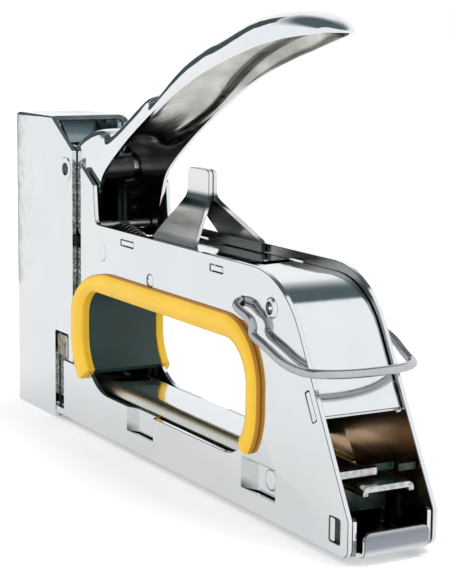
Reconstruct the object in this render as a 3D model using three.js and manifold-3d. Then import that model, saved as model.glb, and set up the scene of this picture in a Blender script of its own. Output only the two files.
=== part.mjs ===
import * as THREE from "three";
import { mergeVertices } from "three/addons/utils/BufferGeometryUtils.js";
import Module from "manifold-3d";

const wasm = await Module();
wasm.setup();

// A hand staple gun: squeeze lever on top, nose with the driver in front, staple magazine below.
// Lengths are in millimetres. While a piece is drawn, x runs back from the nose front, y across
// the tool (left is negative) and z up from the underside of the beam.

// Driving dimensions of the body
const LENGTH = 196.3;
const BODY_WIDTH = 25;
const BEAM_TOP = 61.9;
const NOSE_TOP = 91.3;
const NOSE_DROP = 1.6;
const SHEET = 1.3;
const THIN_SHEET = 1.1;
const FIT = 0.3;
const OVERRUN = 1;
const BEND = 0.8;
const SHEET_BEND = 1.6;

// Places across the tool that many pieces share
const PLATE_OUT = BODY_WIDTH / 2;
const PLATE_IN = PLATE_OUT - SHEET;
const NEST = PLATE_IN - FIT;
const SIDES = [["left", -1], ["right", 1]];

// Nose cap: its foot, the window of the key and the edge along the upper slot
const SLANT = { x: 27.7, endX: 57.5, endZ: 73.5 };
const ROOF_REAR = 26;
const CAP = { foot: 30.4, keyTop: 26, keyRear: 40.4, seam: 18, rear: 46 };

// Side plates
const PLATE = { front: 30.9, tongueTop: 2.2, step: 36.6, shelf: 17.5, post: 50, rear: LENGTH - 1.8 };
const PLATE_NECK = { x: 58.3, z: 72.9, foot: 59.6 };
const HEEL = { height: 9, radius: 2.4 };
const SLOPE_TOP = { x: LENGTH - 31.3, radius: 25 };
const PRESS_DEPTH = 1.7;
const POCKETS = [
  { x: 80.4, length: 16.7, ramp: 5, bottom: 5.2, top: 11 },
  { x: LENGTH - 50.8, length: 17.1, ramp: 6.6, bottom: 5.1, top: 13.5 },
];
const POCKET_STEP = 1;

// Hand hole and its grip
const HOLE = { x: 51.5, length: LENGTH - 97.3, bottom: 12.2, height: BEAM_TOP - 30.6 };
const HOLE_RADII = { frontBottom: 16, rearBottom: 14, rearTop: 12, frontTop: 10 };
const GRIP_FOOT = 15;
const TRIM = { width: 5.5, lip: 1.2, crown: 1.8, round: 1, wrap: 0.6 };
const TRIM_RIM = { front: 6.3, top: 5, rear: 4.7, cornerLength: 26, cornerHeight: 14.8 };
const GRIP_STEPS = 7;
const LINER = 1.8;

// Handle, measured from its pivot
const PIVOT = { x: 39, z: NOSE_TOP - 15.1, radius: 2.6 };
const PIVOT_HEAD = { radius: 3.2, thick: 0.5, dish: 1.9, dishDepth: 1.2 };
const HANDLE_REACH = LENGTH - 65.3;
const HANDLE_RISE = 47.3;
const HANDLE_WIDTH = BODY_WIDTH - 3.2;
const HANDLE_SHEET = 1.1;
const HANDLE_ARCH = 8;
const HANDLE_TAPER = 0.77;
const HUB_RADIUS = 7.5;

// Lifting fork, plunger and driver inside the nose
const FORK = {
  clear: 1.2, below: 7.5, tip: 2.6, neck: 1.3, arm: 3, hub: 4, inner: PLATE_OUT - 5.9, outer: PLATE_OUT - 3.9,
};
const BLADE = { width: 10.6, thick: 1.2, bottom: 6, top: 62 };
const PLUNGER = { bottom: 44, seat: 3, back: 2.5, depth: 16.5, width: BODY_WIDTH - 6.6, top: 79, lug: 3.4 };
const LUG_LENGTH = 5.5;
const POWER_SPRING = { radius: 4.6, wire: 1.8, turns: 9 };
const SPRING_PLACE = 14.6;
const CHEEK = { front: 29, rear: 50.2, bottom: 5.2, top: 53 };
const TONGUE = { width: 9.2, front: 21, rear: 28.2, fall: 6.4 };
const BRACKET_FRONT = 8;
const BUMPER = { height: 5.7, length: 14, width: 12 };
const GUIDE_HEIGHT = 40;

// Return spring of the handle
const HOOK_PIN = { x: 11.5, below: 16, radius: 1.4 };
const ANCHOR = { x: 94.8, z: BEAM_TOP - 11.7, radius: 1.8 };
const RETURN_SPRING = { radius: 1.9, wire: 0.8, turns: 14 };

// Cover, handle stop and cross pin
const COVER = { sheet: 1.2, front: 72, drop: 2.6, slopeInset: 1.5, bottom: 30.5 };
const COVER_TABS = [{ x: 76.8, length: 7.6 }, { x: LENGTH - 67.4, length: 6.3 }];
const SLOPE_TAB = { top: 37, length: 7, inset: 2.4, depth: 1.5 };
const STOP = {
  top: BEAM_TOP + 19.4, half: 2, neck: BEAM_TOP + 12.1, shoulder: BEAM_TOP + 0.7, front: 95.4, rear: 107.5,
};
const STOP_FOOT = { front: 93.5, rear: 117, wall: PLATE_OUT - 2.9 };
const CROSS_PIN = { x: LENGTH - 36.8, z: BEAM_TOP - 9, radius: 2.2 };

// Wire bail, from its hole to the middle of its bow: [back, share of its half width, up]
const BAIL = {
  x: LENGTH - 51.4, z: BEAM_TOP - 9.5, wire: 2.2, hole: 4, holeRise: 0.7, half: PLATE_OUT + 2.3,
};
const BAIL_STATIONS = [
  [0, 0.7635, 0],
  [0, 0.8784, 0],
  [1.5, 0.9865, -0.9],
  [4.5, 1, -1.9],
  [8.4, 1, -3],
  [9.8, 1, -4.6],
  [9.7, 1, -6],
  [11, 1, -7.1],
  [17, 1, -8.8],
  [22.5, 1, -10.5],
  [27, 1, -11.3],
  [31.6, 1, -11.5],
  [35.3, 0.9662, -11.4],
  [38.1, 0.8243, -11.3],
  [39.9, 0.5811, -11.3],
  [40.7, 0.2973, -11.3],
  [40.9, 0, -11.3],
];

// Magazine and base
const HOUSING = {
  half: PLATE_OUT - 3.5, top: 14.3, bottom: 1.6, radius: 3.5, front: 5, rear: LENGTH - 18.3,
};
const TRAY = { front: 37, bottom: 0.3, wall: 4.4, sheet: 1 };
const LIP = { half: PLATE_OUT - 3.5, height: 6.3 };
const HEEL_TAB = { x: LENGTH - 9.3, length: 4, bottom: 3, height: 5.4, wallTop: 9.6, wallLength: 10 };
const KEY = { x: 31.5, length: 7, bottom: 18.4, height: 6.6 };
const CATCH = { x: LENGTH - 12.3, length: 4, z: 17.2, thick: 1.7, notch: PLATE_OUT - 6.7, notchDepth: 1.6 };

// Pusher, follower and their spring
const ROD = { radius: 1.3, z: 9.2, front: 18.6, head: 2.2, headLength: 1.4 };
const UPRIGHT = { x: LENGTH - 15.4, bottom: 7, half: PLATE_OUT - 6.1, thick: 1.4 };
const TAB = { rear: LENGTH - 3.9, half: PLATE_OUT - 5.4, top: 15.9, skirt: 3.2, radius: 2.4, sheet: 1.2 };
const FOLLOWER = { length: 9.6, half: PLATE_OUT - 5.1, bottom: 6.7, top: 12.6 };
const FOLLOWER_SPRING = { radius: 2.7, wire: 0.9, turns: 24 };

// Curves
const ARC_STEPS = 5;
const PIN_SIDES = 20;
const WIRE_SIDES = 8;
const COIL_STEPS = 8;
const COIL_SIDES = 5;

const CHROME = { color: 0xd9dcde, roughness: 0.08, metalness: 1 };
const STEEL = { color: 0x9a9da0, roughness: 0.35, metalness: 1 };
const DARK_STEEL = { color: 0x55585a, roughness: 0.4, metalness: 1 };
const YELLOW = { color: 0xf2c52b, roughness: 0.4, metalness: 0 };
const SLATE = { color: 0x32484a, roughness: 0.6, metalness: 0 };
const RUBBER = { color: 0x222222, roughness: 0.8, metalness: 0 };

// Outlines

// Rounds the corners [a, b, radius] of a closed outline.
function rounded(corners) {
  const points = [];
  corners.forEach(([a, b, radius = 0], i) => {
    const here = new THREE.Vector2(a, b);
    const before = cornerPoint(corners, i - 1).sub(here);
    const after = cornerPoint(corners, i + 1).sub(here);
    pushArc(points, here, before.normalize(), after.normalize(), radius);
  });
  return points;
}

function cornerPoint(corners, i) {
  const [a, b] = corners[(i + corners.length) % corners.length];
  return new THREE.Vector2(a, b);
}

// Adds one rounded corner, between the directions to its two neighbours.
function pushArc(points, here, before, after, radius) {
  if (radius === 0) {
    points.push(here);
    return;
  }
  const half = Math.acos(THREE.MathUtils.clamp(before.dot(after), -1, 1)) / 2;
  const centre = here.clone().addScaledVector(before.clone().add(after).normalize(), radius / Math.sin(half));
  const start = here.clone().addScaledVector(before, radius / Math.tan(half)).sub(centre);
  const end = here.clone().addScaledVector(after, radius / Math.tan(half)).sub(centre);
  const turn = Math.atan2(start.cross(end), start.dot(end));
  const steps = Math.max(1, Math.ceil(Math.abs(turn) / (Math.PI / 2) * ARC_STEPS));
  for (let i = 0; i <= steps; i += 1) {
    points.push(start.clone().rotateAround(new THREE.Vector2(), turn * i / steps).add(centre));
  }
}

// Rounds the inner corners of an open line and leaves its two ends.
function bent(corners) {
  const points = [];
  corners.forEach(([a, b, radius = 0], i) => {
    const here = new THREE.Vector2(a, b);
    if (i === 0 || i === corners.length - 1) {
      points.push(here);
      return;
    }
    const before = new THREE.Vector2(...corners[i - 1]).sub(here).normalize();
    const after = new THREE.Vector2(...corners[i + 1]).sub(here).normalize();
    pushArc(points, here, before, after, radius);
  });
  return points;
}

// Moves an open line sideways, to the left of its direction.
function shifted(line, distance) {
  return line.map((point, i) => {
    const back = line[Math.max(i - 1, 0)];
    const ahead = line[Math.min(i + 1, line.length - 1)];
    const into = point.clone().sub(back).normalize();
    const out = ahead.clone().sub(point).normalize();
    const along = into.clone().add(out).normalize();
    const normal = new THREE.Vector2(-along.y, along.x);
    const reach = Math.max(into.lengthSq() ? along.dot(into) : along.dot(out), Math.SQRT1_2);
    return point.clone().addScaledVector(normal, distance / reach);
  });
}

// A bent sheet seen from its edge: the line is its outer face, the sheet lies to the line's right.
function sheetOutline(line, sheet) {
  return [...line, ...shifted(line, -sheet).reverse()];
}

function box2(a0, a1, b0, b1, radius = 0) {
  return rounded([[a0, b0, radius], [a1, b0, radius], [a1, b1, radius], [a0, b1, radius]]);
}

function circle2(a, b, radius, sides = PIN_SIDES) {
  const points = [];
  for (let i = 0; i < sides; i += 1) {
    const angle = 2 * Math.PI * (i + 0.5) / sides;
    points.push(new THREE.Vector2(a + radius * Math.cos(angle), b + radius * Math.sin(angle)));
  }
  return points;
}

// Solids

function extruded(outline, depth) {
  return new THREE.ExtrudeGeometry(new THREE.Shape(outline), { depth, bevelEnabled: false });
}

// Outline in x and z, from one y to another.
function acrossY(outline, y0, y1) {
  return extruded(outline, y1 - y0).rotateX(Math.PI / 2).translate(0, y1, 0);
}

// Outline in y and z, from one x to another.
function alongX(outline, x0, x1) {
  const turn = new THREE.Matrix4().set(0, 0, 1, 0, 1, 0, 0, 0, 0, 1, 0, 0, 0, 0, 0, 1);
  return extruded(outline, x1 - x0).applyMatrix4(turn).translate(x0, 0, 0);
}

// Outline in x and y, from one z to another.
function alongZ(outline, z0, z1) {
  return extruded(outline, z1 - z0).translate(0, 0, z0);
}

function block(x0, x1, y0, y1, z0, z1) {
  return new THREE.BoxGeometry(x1 - x0, y1 - y0, z1 - z0)
    .translate((x0 + x1) / 2, (y0 + y1) / 2, (z0 + z1) / 2);
}

function barY(x, z, radius, y0, y1, sides = PIN_SIDES) {
  return acrossY(circle2(x, z, radius, sides), y0, y1);
}

function solid(geometry) {
  const plain = new THREE.BufferGeometry();
  plain.setAttribute("position", geometry.getAttribute("position").clone());
  if (geometry.index) plain.setIndex(geometry.index.clone());
  const merged = mergeVertices(plain);
  const vertProperties = new Float32Array(merged.getAttribute("position").array);
  const triVerts = new Uint32Array(merged.index.array);
  return new wasm.Manifold(new wasm.Mesh({ numProp: 3, vertProperties, triVerts }));
}

function joined(...geometries) {
  return geometries.map(solid).reduce((whole, piece) => whole.add(piece));
}

function without(body, ...cuts) {
  return cuts.map(solid).reduce((whole, cut) => whole.subtract(cut), body);
}

function surface(body) {
  const mesh = body.getMesh();
  const geometry = new THREE.BufferGeometry();
  geometry.setAttribute("position", new THREE.BufferAttribute(mesh.vertProperties, mesh.numProp));
  geometry.setIndex(new THREE.BufferAttribute(mesh.triVerts, 1));
  geometry.computeVertexNormals();
  return geometry;
}

// Skins a row of rings with the same number of points, and closes both ends.
function skinned(rings, flatEnd) {
  const count = rings[0].length;
  const index = [];
  for (let i = 0; i + 1 < rings.length; i += 1) {
    for (let j = 0; j < count; j += 1) {
      const a = i * count + j;
      const b = i * count + (j + 1) % count;
      index.push(a, b, a + count, b, b + count, a + count);
    }
  }
  const clockwise = THREE.ShapeUtils.isClockWise(flatEnd);
  const faces = THREE.ShapeUtils.triangulateShape(clockwise ? [...flatEnd].reverse() : flatEnd, [])
    .map((face) => (clockwise ? face.map((i) => count - 1 - i).reverse() : face));
  const last = (rings.length - 1) * count;
  faces.forEach(([a, b, c]) => index.push(c, b, a, last + a, last + b, last + c));
  const places = rings.flat();
  if (signedVolume(places, index) < 0) index.reverse();
  const geometry = new THREE.BufferGeometry().setFromPoints(places);
  geometry.setIndex(index);
  geometry.computeVertexNormals();
  return geometry;
}

function signedVolume(places, index) {
  let volume = 0;
  for (let i = 0; i < index.length; i += 3) {
    const [a, b, c] = [places[index[i]], places[index[i + 1]], places[index[i + 2]]];
    volume += a.dot(b.clone().cross(c));
  }
  return volume;
}

// A coil spring round the z axis, standing on zero, its end turns lying flat.
function coil({ radius, wire, turns }, length) {
  const rings = [];
  const steps = turns * COIL_STEPS;
  const rise = length - wire;
  const section = circle2(0, 0, wire / 2, COIL_SIDES);
  for (let i = 0; i <= steps; i += 1) {
    const share = THREE.MathUtils.clamp((i - COIL_STEPS / 2) / (steps - COIL_STEPS), 0, 1);
    const angle = 2 * Math.PI * i / COIL_STEPS;
    const lift = wire / 2 + rise * (share * (1 - 2 / turns) + (i / steps) * (2 / turns));
    rings.push(section.map((p) => new THREE.Vector3(
      (radius + p.x) * Math.cos(angle),
      (radius + p.x) * Math.sin(angle),
      lift + p.y,
    )));
  }
  return skinned(rings, section.map((p) => new THREE.Vector2(p.x, -p.y)));
}

// Nose cap and side plates

// Height of the sloping top edge at a distance from the nose.
function slantHeight(x) {
  const share = (x - SLANT.x) / (SLANT.endX - SLANT.x);
  return NOSE_TOP + share * (SLANT.endZ - NOSE_TOP);
}

function capSideOutline() {
  return rounded([
    [0, -NOSE_DROP],
    [CAP.foot, -NOSE_DROP],
    [CAP.foot, CAP.keyTop, BEND],
    [CAP.keyRear, CAP.keyTop, BEND],
    [CAP.keyRear, CAP.seam],
    [CAP.rear, CAP.seam],
    [CAP.rear, slantHeight(CAP.rear), BEND],
    [SLANT.x, NOSE_TOP, BEND],
    [0, NOSE_TOP],
  ]);
}

// The cap is one folded sheet: front wall, two sides and a roof.
function noseCap() {
  const plan = bent([
    [CAP.rear, PLATE_OUT],
    [0, PLATE_OUT, SHEET_BEND],
    [0, -PLATE_OUT, SHEET_BEND],
    [CAP.rear, -PLATE_OUT],
  ]);
  const wrap = solid(alongZ(sheetOutline(plan, -SHEET), -NOSE_DROP, NOSE_TOP));
  const roof = solid(block(SHEET / 2, ROOF_REAR, -PLATE_IN - OVERRUN / 2, PLATE_IN + OVERRUN / 2,
    NOSE_TOP - SHEET, NOSE_TOP));
  const sides = solid(acrossY(capSideOutline(), -BODY_WIDTH, BODY_WIDTH));
  const bore = barY(PIVOT.x, PIVOT.z, PIVOT.radius + FIT, -BODY_WIDTH, BODY_WIDTH);
  return without(wrap.add(roof).intersect(sides), bore);
}

function plateOutline() {
  return rounded([
    [PLATE.front, 0],
    [PLATE.rear, 0, HEEL.radius],
    [PLATE.rear, HEEL.height, HEEL.radius],
    [SLOPE_TOP.x, BEAM_TOP, SLOPE_TOP.radius],
    [PLATE_NECK.foot, BEAM_TOP, HEEL.radius],
    [PLATE_NECK.x, PLATE_NECK.z, BEND],
    [SLANT.endX, SLANT.endZ],
    [PLATE.post, slantHeight(PLATE.post), BEND],
    [PLATE.post, PLATE.shelf],
    [PLATE.step, PLATE.shelf],
    [PLATE.step, PLATE.tongueTop],
    [PLATE.front, PLATE.tongueTop],
  ]);
}

// Direction down the rear slope, and a point on it at a height.
function slopeDirection() {
  return new THREE.Vector2(PLATE.rear - SLOPE_TOP.x, HEEL.height - BEAM_TOP).normalize();
}

function slopePlace(z) {
  const down = slopeDirection();
  return SLOPE_TOP.x + (BEAM_TOP - z) * down.x / -down.y;
}

function holeOutline() {
  const x1 = HOLE.x + HOLE.length;
  const z1 = HOLE.bottom + HOLE.height;
  return rounded([
    [HOLE.x, HOLE.bottom, HOLE_RADII.frontBottom],
    [x1, HOLE.bottom, HOLE_RADII.rearBottom],
    [x1, z1, HOLE_RADII.rearTop],
    [HOLE.x, z1, HOLE_RADII.frontTop],
  ]);
}

// A rectangle that lies in the rear slope of the body, grown by a distance.
function slopeTabOutline(grow) {
  const down = slopeDirection();
  const inward = new THREE.Vector2(down.y, -down.x);
  const start = new THREE.Vector2(slopePlace(SLOPE_TAB.top), SLOPE_TAB.top)
    .addScaledVector(inward, SLOPE_TAB.inset);
  const corner = (along, deep) => start.clone().addScaledVector(down, along).addScaledVector(inward, deep);
  return [
    corner(-grow, -grow),
    corner(-grow, SLOPE_TAB.depth + grow),
    corner(SLOPE_TAB.length + grow, SLOPE_TAB.depth + grow),
    corner(SLOPE_TAB.length + grow, -grow),
  ];
}

function coverTabOutline({ x, length }, grow) {
  const top = BEAM_TOP - COVER.drop;
  return box2(x - grow, x + length + grow, top - COVER.sheet - grow, top + grow);
}

function heelTabOutline(grow) {
  const top = HEEL_TAB.bottom + HEEL_TAB.height;
  return box2(HEEL_TAB.x - grow, HEEL_TAB.x + HEEL_TAB.length + grow, HEEL_TAB.bottom - grow, top + grow);
}

function plateHoles() {
  return [
    holeOutline(),
    circle2(ANCHOR.x, ANCHOR.z, ANCHOR.radius + FIT),
    circle2(CROSS_PIN.x, CROSS_PIN.z, CROSS_PIN.radius + FIT),
    circle2(BAIL.x, BAIL.z + BAIL.holeRise, BAIL.hole / 2),
    heelTabOutline(FIT),
    slopeTabOutline(FIT),
    ...COVER_TABS.map((tab) => coverTabOutline(tab, FIT)),
  ];
}

// Plan of a pressed-in pocket: it ramps in at the front and steps back out at the rear.
function pocketPlan({ x, length, ramp }, side) {
  const line = [
    [x - OVERRUN, PLATE_OUT],
    [x, PLATE_OUT],
    [x + ramp, PLATE_OUT - PRESS_DEPTH],
    [x + length - POCKET_STEP, PLATE_OUT - PRESS_DEPTH],
    [x + length, PLATE_OUT],
    [x + length + OVERRUN, PLATE_OUT],
  ].map(([a, b]) => new THREE.Vector2(a, b));
  const inner = line.map((p) => new THREE.Vector2(p.x, p.y - SHEET)).reverse();
  return [...line, ...inner].map((p) => new THREE.Vector2(p.x, side * p.y));
}

function sidePlate(side) {
  const y0 = Math.min(side * PLATE_IN, side * PLATE_OUT);
  const y1 = y0 + SHEET;
  const pockets = POCKETS.map(({ x, length, bottom, top }) => box2(x, x + length, bottom, top));
  const cuts = [...plateHoles(), ...pockets].map((hole) => acrossY(hole, y0 - OVERRUN, y1 + OVERRUN));
  const plate = without(solid(acrossY(plateOutline(), y0, y1)), ...cuts);
  return POCKETS.reduce((whole, pocket) => {
    const pressed = alongZ(pocketPlan(pocket, side), pocket.bottom + FIT, pocket.top);
    return whole.add(solid(pressed));
  }, plate);
}

// Inside the nose

function housingCheek(side) {
  const x0 = SHEET + FIT;
  const top = NOSE_TOP - SHEET - FIT;
  const outline = rounded([
    [x0, -NOSE_DROP],
    [CHEEK.front, -NOSE_DROP],
    [CHEEK.front, CHEEK.bottom],
    [CHEEK.rear, CHEEK.bottom],
    [CHEEK.rear, CHEEK.top, BEND],
    [CHEEK.front, CHEEK.top],
    [CHEEK.front, slantHeight(CHEEK.front) - SHEET - FIT],
    [SLANT.x, top, BEND],
    [x0, top],
  ]);
  const y0 = Math.min(side * NEST, side * (NEST - SHEET));
  return acrossY(outline, y0, y0 + SHEET);
}

function keyOutline(grow) {
  return box2(KEY.x - grow, KEY.x + KEY.length + grow, KEY.bottom - grow, KEY.bottom + KEY.height + grow, BEND);
}

function driverHousing() {
  const shelfTop = PLUNGER.bottom - FIT - BUMPER.height - FIT;
  const shelf = block(
    bladeFront() + BLADE.thick + FIT, CHEEK.front, -NEST + FIT, NEST - FIT, shelfTop - SHEET, shelfTop,
  );
  const keyway = acrossY(keyOutline(FIT), -BODY_WIDTH, BODY_WIDTH);
  return without(joined(housingCheek(-1), housingCheek(1), shelf), keyway);
}

// The driver blade runs between the front guide and the magazine.
function bladeFront() {
  return SHEET + FIT + SHEET + FIT;
}

function frontGuide() {
  const half = NEST - SHEET - FIT;
  return solid(block(SHEET + FIT, 2 * SHEET + FIT, -half, half, -NOSE_DROP, GUIDE_HEIGHT));
}

function driverBlade() {
  const x0 = bladeFront();
  const half = BLADE.width / 2;
  return solid(alongX(box2(-half, half, BLADE.bottom, BLADE.top), x0, x0 + BLADE.thick));
}

function lugBottom() {
  return PIVOT.z - FORK.below + FORK.tip + FIT;
}

function plunger() {
  const x0 = bladeFront() + BLADE.thick + FIT;
  const half = PLUNGER.width / 2;
  const seat = block(x0, x0 + PLUNGER.depth, -half, half, PLUNGER.bottom, PLUNGER.bottom + PLUNGER.seat);
  const back = block(x0, x0 + PLUNGER.back, -half, half, PLUNGER.bottom, PLUNGER.top);
  const lugs = SIDES.map(([, side]) => block(
    x0, x0 + PLUNGER.back + LUG_LENGTH,
    Math.min(side * half, side * FORK.inner), Math.max(side * half, side * FORK.inner),
    lugBottom(), lugBottom() + PLUNGER.lug,
  ));
  return joined(seat, back, ...lugs);
}

function bracketTop() {
  return NOSE_TOP - SHEET - FIT;
}

function springBracket() {
  const line = bent([
    [BRACKET_FRONT, bracketTop()],
    [TONGUE.front, bracketTop(), BEND],
    [TONGUE.rear, bracketTop() - TONGUE.fall],
  ]);
  const half = TONGUE.width / 2;
  const tongue = acrossY(sheetOutline(line, SHEET), -half, half);
  const wing = NEST - SHEET - FIT;
  const plate = block(BRACKET_FRONT, TONGUE.front - SHEET, -wing, wing, bracketTop() - SHEET, bracketTop());
  return joined(tongue, plate);
}

function powerSpring() {
  const z0 = PLUNGER.bottom + PLUNGER.seat + FIT;
  const z1 = bracketTop() - SHEET - FIT;
  return coil(POWER_SPRING, z1 - z0).translate(SPRING_PLACE, 0, z0);
}

function bumper() {
  const half = BUMPER.width / 2;
  const top = PLUNGER.bottom - FIT;
  const x0 = SPRING_PLACE - BUMPER.length / 2;
  return solid(alongZ(box2(x0, x0 + BUMPER.length, -half, half, BEND), top - BUMPER.height, top));
}

function noseKey() {
  return solid(acrossY(keyOutline(0), -PLATE_OUT + FIT, PLATE_OUT - FIT));
}

// Handle

// Stations along the handle from its front: distance back from the pivot as a share of the
// handle's reach, then the heights of its crown and of its lower edge over the pivot as shares
// of the handle's rise.
const handleStationShares = [
  [0.0038, 0.1712, -0.2156],
  [0.0191, 0.1839, -0.3108],
  [0.0420, 0.2199, -0.3805],
  [0.0649, 0.2410, -0.3911],
  [0.0954, 0.2622, -0.3911],
  [0.1221, 0.2706, -0.3721],
  [0.1374, 0.2685, -0.1987],
  [0.1481, 0.2643, -0.0930],
  [0.1634, 0.2199, -0.0254],
  [0.2031, 0.2706, 0.0719],
  [0.2534, 0.3383, 0.1776],
  [0.3015, 0.4123, 0.2706],
  [0.3481, 0.4905, 0.3340],
  [0.3718, 0.5011, 0.3763],
  [0.3779, 0.4440, 0.3827],
  [0.4099, 0.5243, 0.4271],
  [0.4557, 0.6237, 0.4863],
  [0.4901, 0.6829, 0.5370],
  [0.5252, 0.7378, 0.5920],
  [0.5603, 0.7822, 0.6216],
  [0.6137, 0.8414, 0.6702],
  [0.6786, 0.8943, 0.7209],
  [0.7168, 0.9366, 0.7463],
  [0.7649, 0.9767, 0.7822],
  [0.8092, 0.9937, 0.8245],
  [0.8550, 1.0000, 0.8478],
  [0.8931, 0.9979, 0.8626],
  [0.9237, 0.9852, 0.8732],
  [0.9504, 0.9683, 0.8816],
  [0.9733, 0.9471, 0.8879],
  [0.9893, 0.9239, 0.8943],
  [1.0000, 0.9049, 0.8985],
];
const archShares = [1, 0.985, 0.93, 0.82, 0.66, 0.45, 0.22, 0];

// Half width of the handle at a share of its reach: straight, then rounded off to the tip.
function handleHalf(share, inset) {
  const past = Math.max(0, (share - HANDLE_TAPER) / (1 - HANDLE_TAPER));
  const plan = Math.sqrt(Math.max(0, 1 - past * past));
  return Math.max((HANDLE_WIDTH / 2) * plan - inset, HANDLE_SHEET / 2);
}

// One cross section of the handle, drawn in by an inset and run down past its lower edge.
function handleRing([reach, crown, edge], inset, below) {
  const half = handleHalf(reach, inset);
  const top = Math.max(crown * HANDLE_RISE - inset, edge * HANDLE_RISE + inset / 2);
  const low = edge * HANDLE_RISE - below;
  const arch = Math.min(HANDLE_ARCH, top - low);
  const rightHalf = archShares.map((share) => [
    half * share,
    top - arch * (1 - Math.cbrt(1 - share ** 3)),
  ]);
  const leftHalf = rightHalf.slice(0, -1).reverse().map(([y, z]) => [-y, z]);
  const outline = [[half, low], ...rightHalf, ...leftHalf, [-half, low]];
  return outline.map(([y, z]) => new THREE.Vector3(PIVOT.x + reach * HANDLE_REACH, y, PIVOT.z + z));
}

function handleSkin(stations, inset, below) {
  const rings = stations.map((station) => handleRing(station, inset, below));
  return skinned(rings, rings[0].map((point) => new THREE.Vector2(point.y, point.z)));
}

function handleShell() {
  const outside = solid(handleSkin(handleStationShares, 0, 0));
  const overrun = OVERRUN / HANDLE_REACH;
  const inner = handleStationShares.slice(0, -2);
  const [frontReach, ...frontHeights] = inner[0];
  const inside = [[frontReach - overrun, ...frontHeights], ...inner];
  const flanges = SIDES.map(([, side]) => {
    const y0 = Math.min(side * HANDLE_WIDTH / 2, side * (HANDLE_WIDTH / 2 - HANDLE_SHEET));
    return solid(barY(PIVOT.x, PIVOT.z, HUB_RADIUS, y0, y0 + HANDLE_SHEET));
  });
  const shell = outside.subtract(solid(handleSkin(inside, HANDLE_SHEET, OVERRUN)));
  const hubbed = flanges.reduce((whole, flange) => whole.add(flange), shell);
  return without(hubbed, barY(PIVOT.x, PIVOT.z, PIVOT.radius + FIT, -BODY_WIDTH, BODY_WIDTH));
}

function pivotPin() {
  const end = PLATE_OUT + FIT;
  const head = end + PIVOT_HEAD.thick;
  const profile = [
    [0, -head + PIVOT_HEAD.dishDepth],
    [PIVOT_HEAD.dish, -head + PIVOT_HEAD.dishDepth],
    [PIVOT_HEAD.dish, -head],
    [PIVOT_HEAD.radius, -head],
    [PIVOT_HEAD.radius, -end],
    [PIVOT.radius, -end],
    [PIVOT.radius, end],
    [PIVOT_HEAD.radius, end],
    [PIVOT_HEAD.radius, head],
    [PIVOT_HEAD.dish, head],
    [PIVOT_HEAD.dish, head - PIVOT_HEAD.dishDepth],
    [0, head - PIVOT_HEAD.dishDepth],
  ].map(([a, b]) => new THREE.Vector2(a, b));
  return new THREE.LatheGeometry(profile, PIN_SIDES).translate(PIVOT.x, 0, PIVOT.z);
}

// The fork's tips stay a clearance behind the plunger's back.
function forkTip() {
  return bladeFront() + BLADE.thick + FIT + PLUNGER.back + FORK.tip + FORK.clear;
}

// One prong of the fork, from the hub to its rounded tip.
function forkProng(side) {
  const y0 = Math.min(side * FORK.inner, side * FORK.outer);
  const y1 = y0 + FORK.outer - FORK.inner;
  const tipX = forkTip();
  const tipZ = PIVOT.z - FORK.below;
  const arm = [
    [tipX, tipZ - FORK.neck],
    [PIVOT.x, PIVOT.z - FORK.arm],
    [PIVOT.x, PIVOT.z + FORK.arm],
    [tipX, tipZ + FORK.neck],
  ].map(([a, b]) => new THREE.Vector2(a, b));
  return [acrossY(arm, y0, y1), barY(tipX, tipZ, FORK.tip, y0, y1)];
}

function liftFork() {
  const hub = barY(PIVOT.x, PIVOT.z, FORK.hub, -FORK.outer, FORK.outer);
  const whole = joined(hub, ...forkProng(-1), ...forkProng(1));
  return without(whole, barY(PIVOT.x, PIVOT.z, PIVOT.radius + FIT, -BODY_WIDTH, BODY_WIDTH));
}

function hookPin() {
  const half = HANDLE_WIDTH / 2 - HANDLE_SHEET - FIT;
  return solid(barY(PIVOT.x + HOOK_PIN.x, PIVOT.z - HOOK_PIN.below, HOOK_PIN.radius, -half, half));
}

function anchorPin() {
  return solid(barY(ANCHOR.x, ANCHOR.z, ANCHOR.radius, -PLATE_OUT, PLATE_OUT));
}

// The return spring is stretched from the hook pin back to the anchor pin.
function returnSpring() {
  const hook = new THREE.Vector3(PIVOT.x + HOOK_PIN.x, 0, PIVOT.z - HOOK_PIN.below);
  const anchor = new THREE.Vector3(ANCHOR.x, 0, ANCHOR.z);
  const way = anchor.clone().sub(hook);
  const length = way.length() - HOOK_PIN.radius - ANCHOR.radius - 2 * FIT;
  way.normalize();
  const turn = new THREE.Quaternion().setFromUnitVectors(new THREE.Vector3(0, 0, 1), way);
  const start = hook.addScaledVector(way, HOOK_PIN.radius + FIT);
  return coil(RETURN_SPRING, length).applyQuaternion(turn).translate(...start.toArray());
}

// Cover, handle stop and cross pin

function coverLine() {
  const down = slopeDirection();
  const inward = new THREE.Vector2(down.y, -down.x).multiplyScalar(COVER.slopeInset);
  const place = (z) => slopePlace(z) + inward.x / -down.y;
  const top = BEAM_TOP - COVER.drop;
  return bent([
    [COVER.front, top],
    [place(top), top, SLOPE_TOP.radius - COVER.drop],
    [place(COVER.bottom), COVER.bottom],
  ]);
}

function topCover() {
  const strip = acrossY(sheetOutline(coverLine(), COVER.sheet), -NEST, NEST);
  const tabs = COVER_TABS.map((tab) => acrossY(coverTabOutline(tab, 0), -PLATE_OUT + FIT, PLATE_OUT - FIT));
  const slopeTab = acrossY(slopeTabOutline(0), -PLATE_OUT + FIT, PLATE_OUT - FIT);
  return joined(strip, ...tabs, slopeTab);
}

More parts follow.
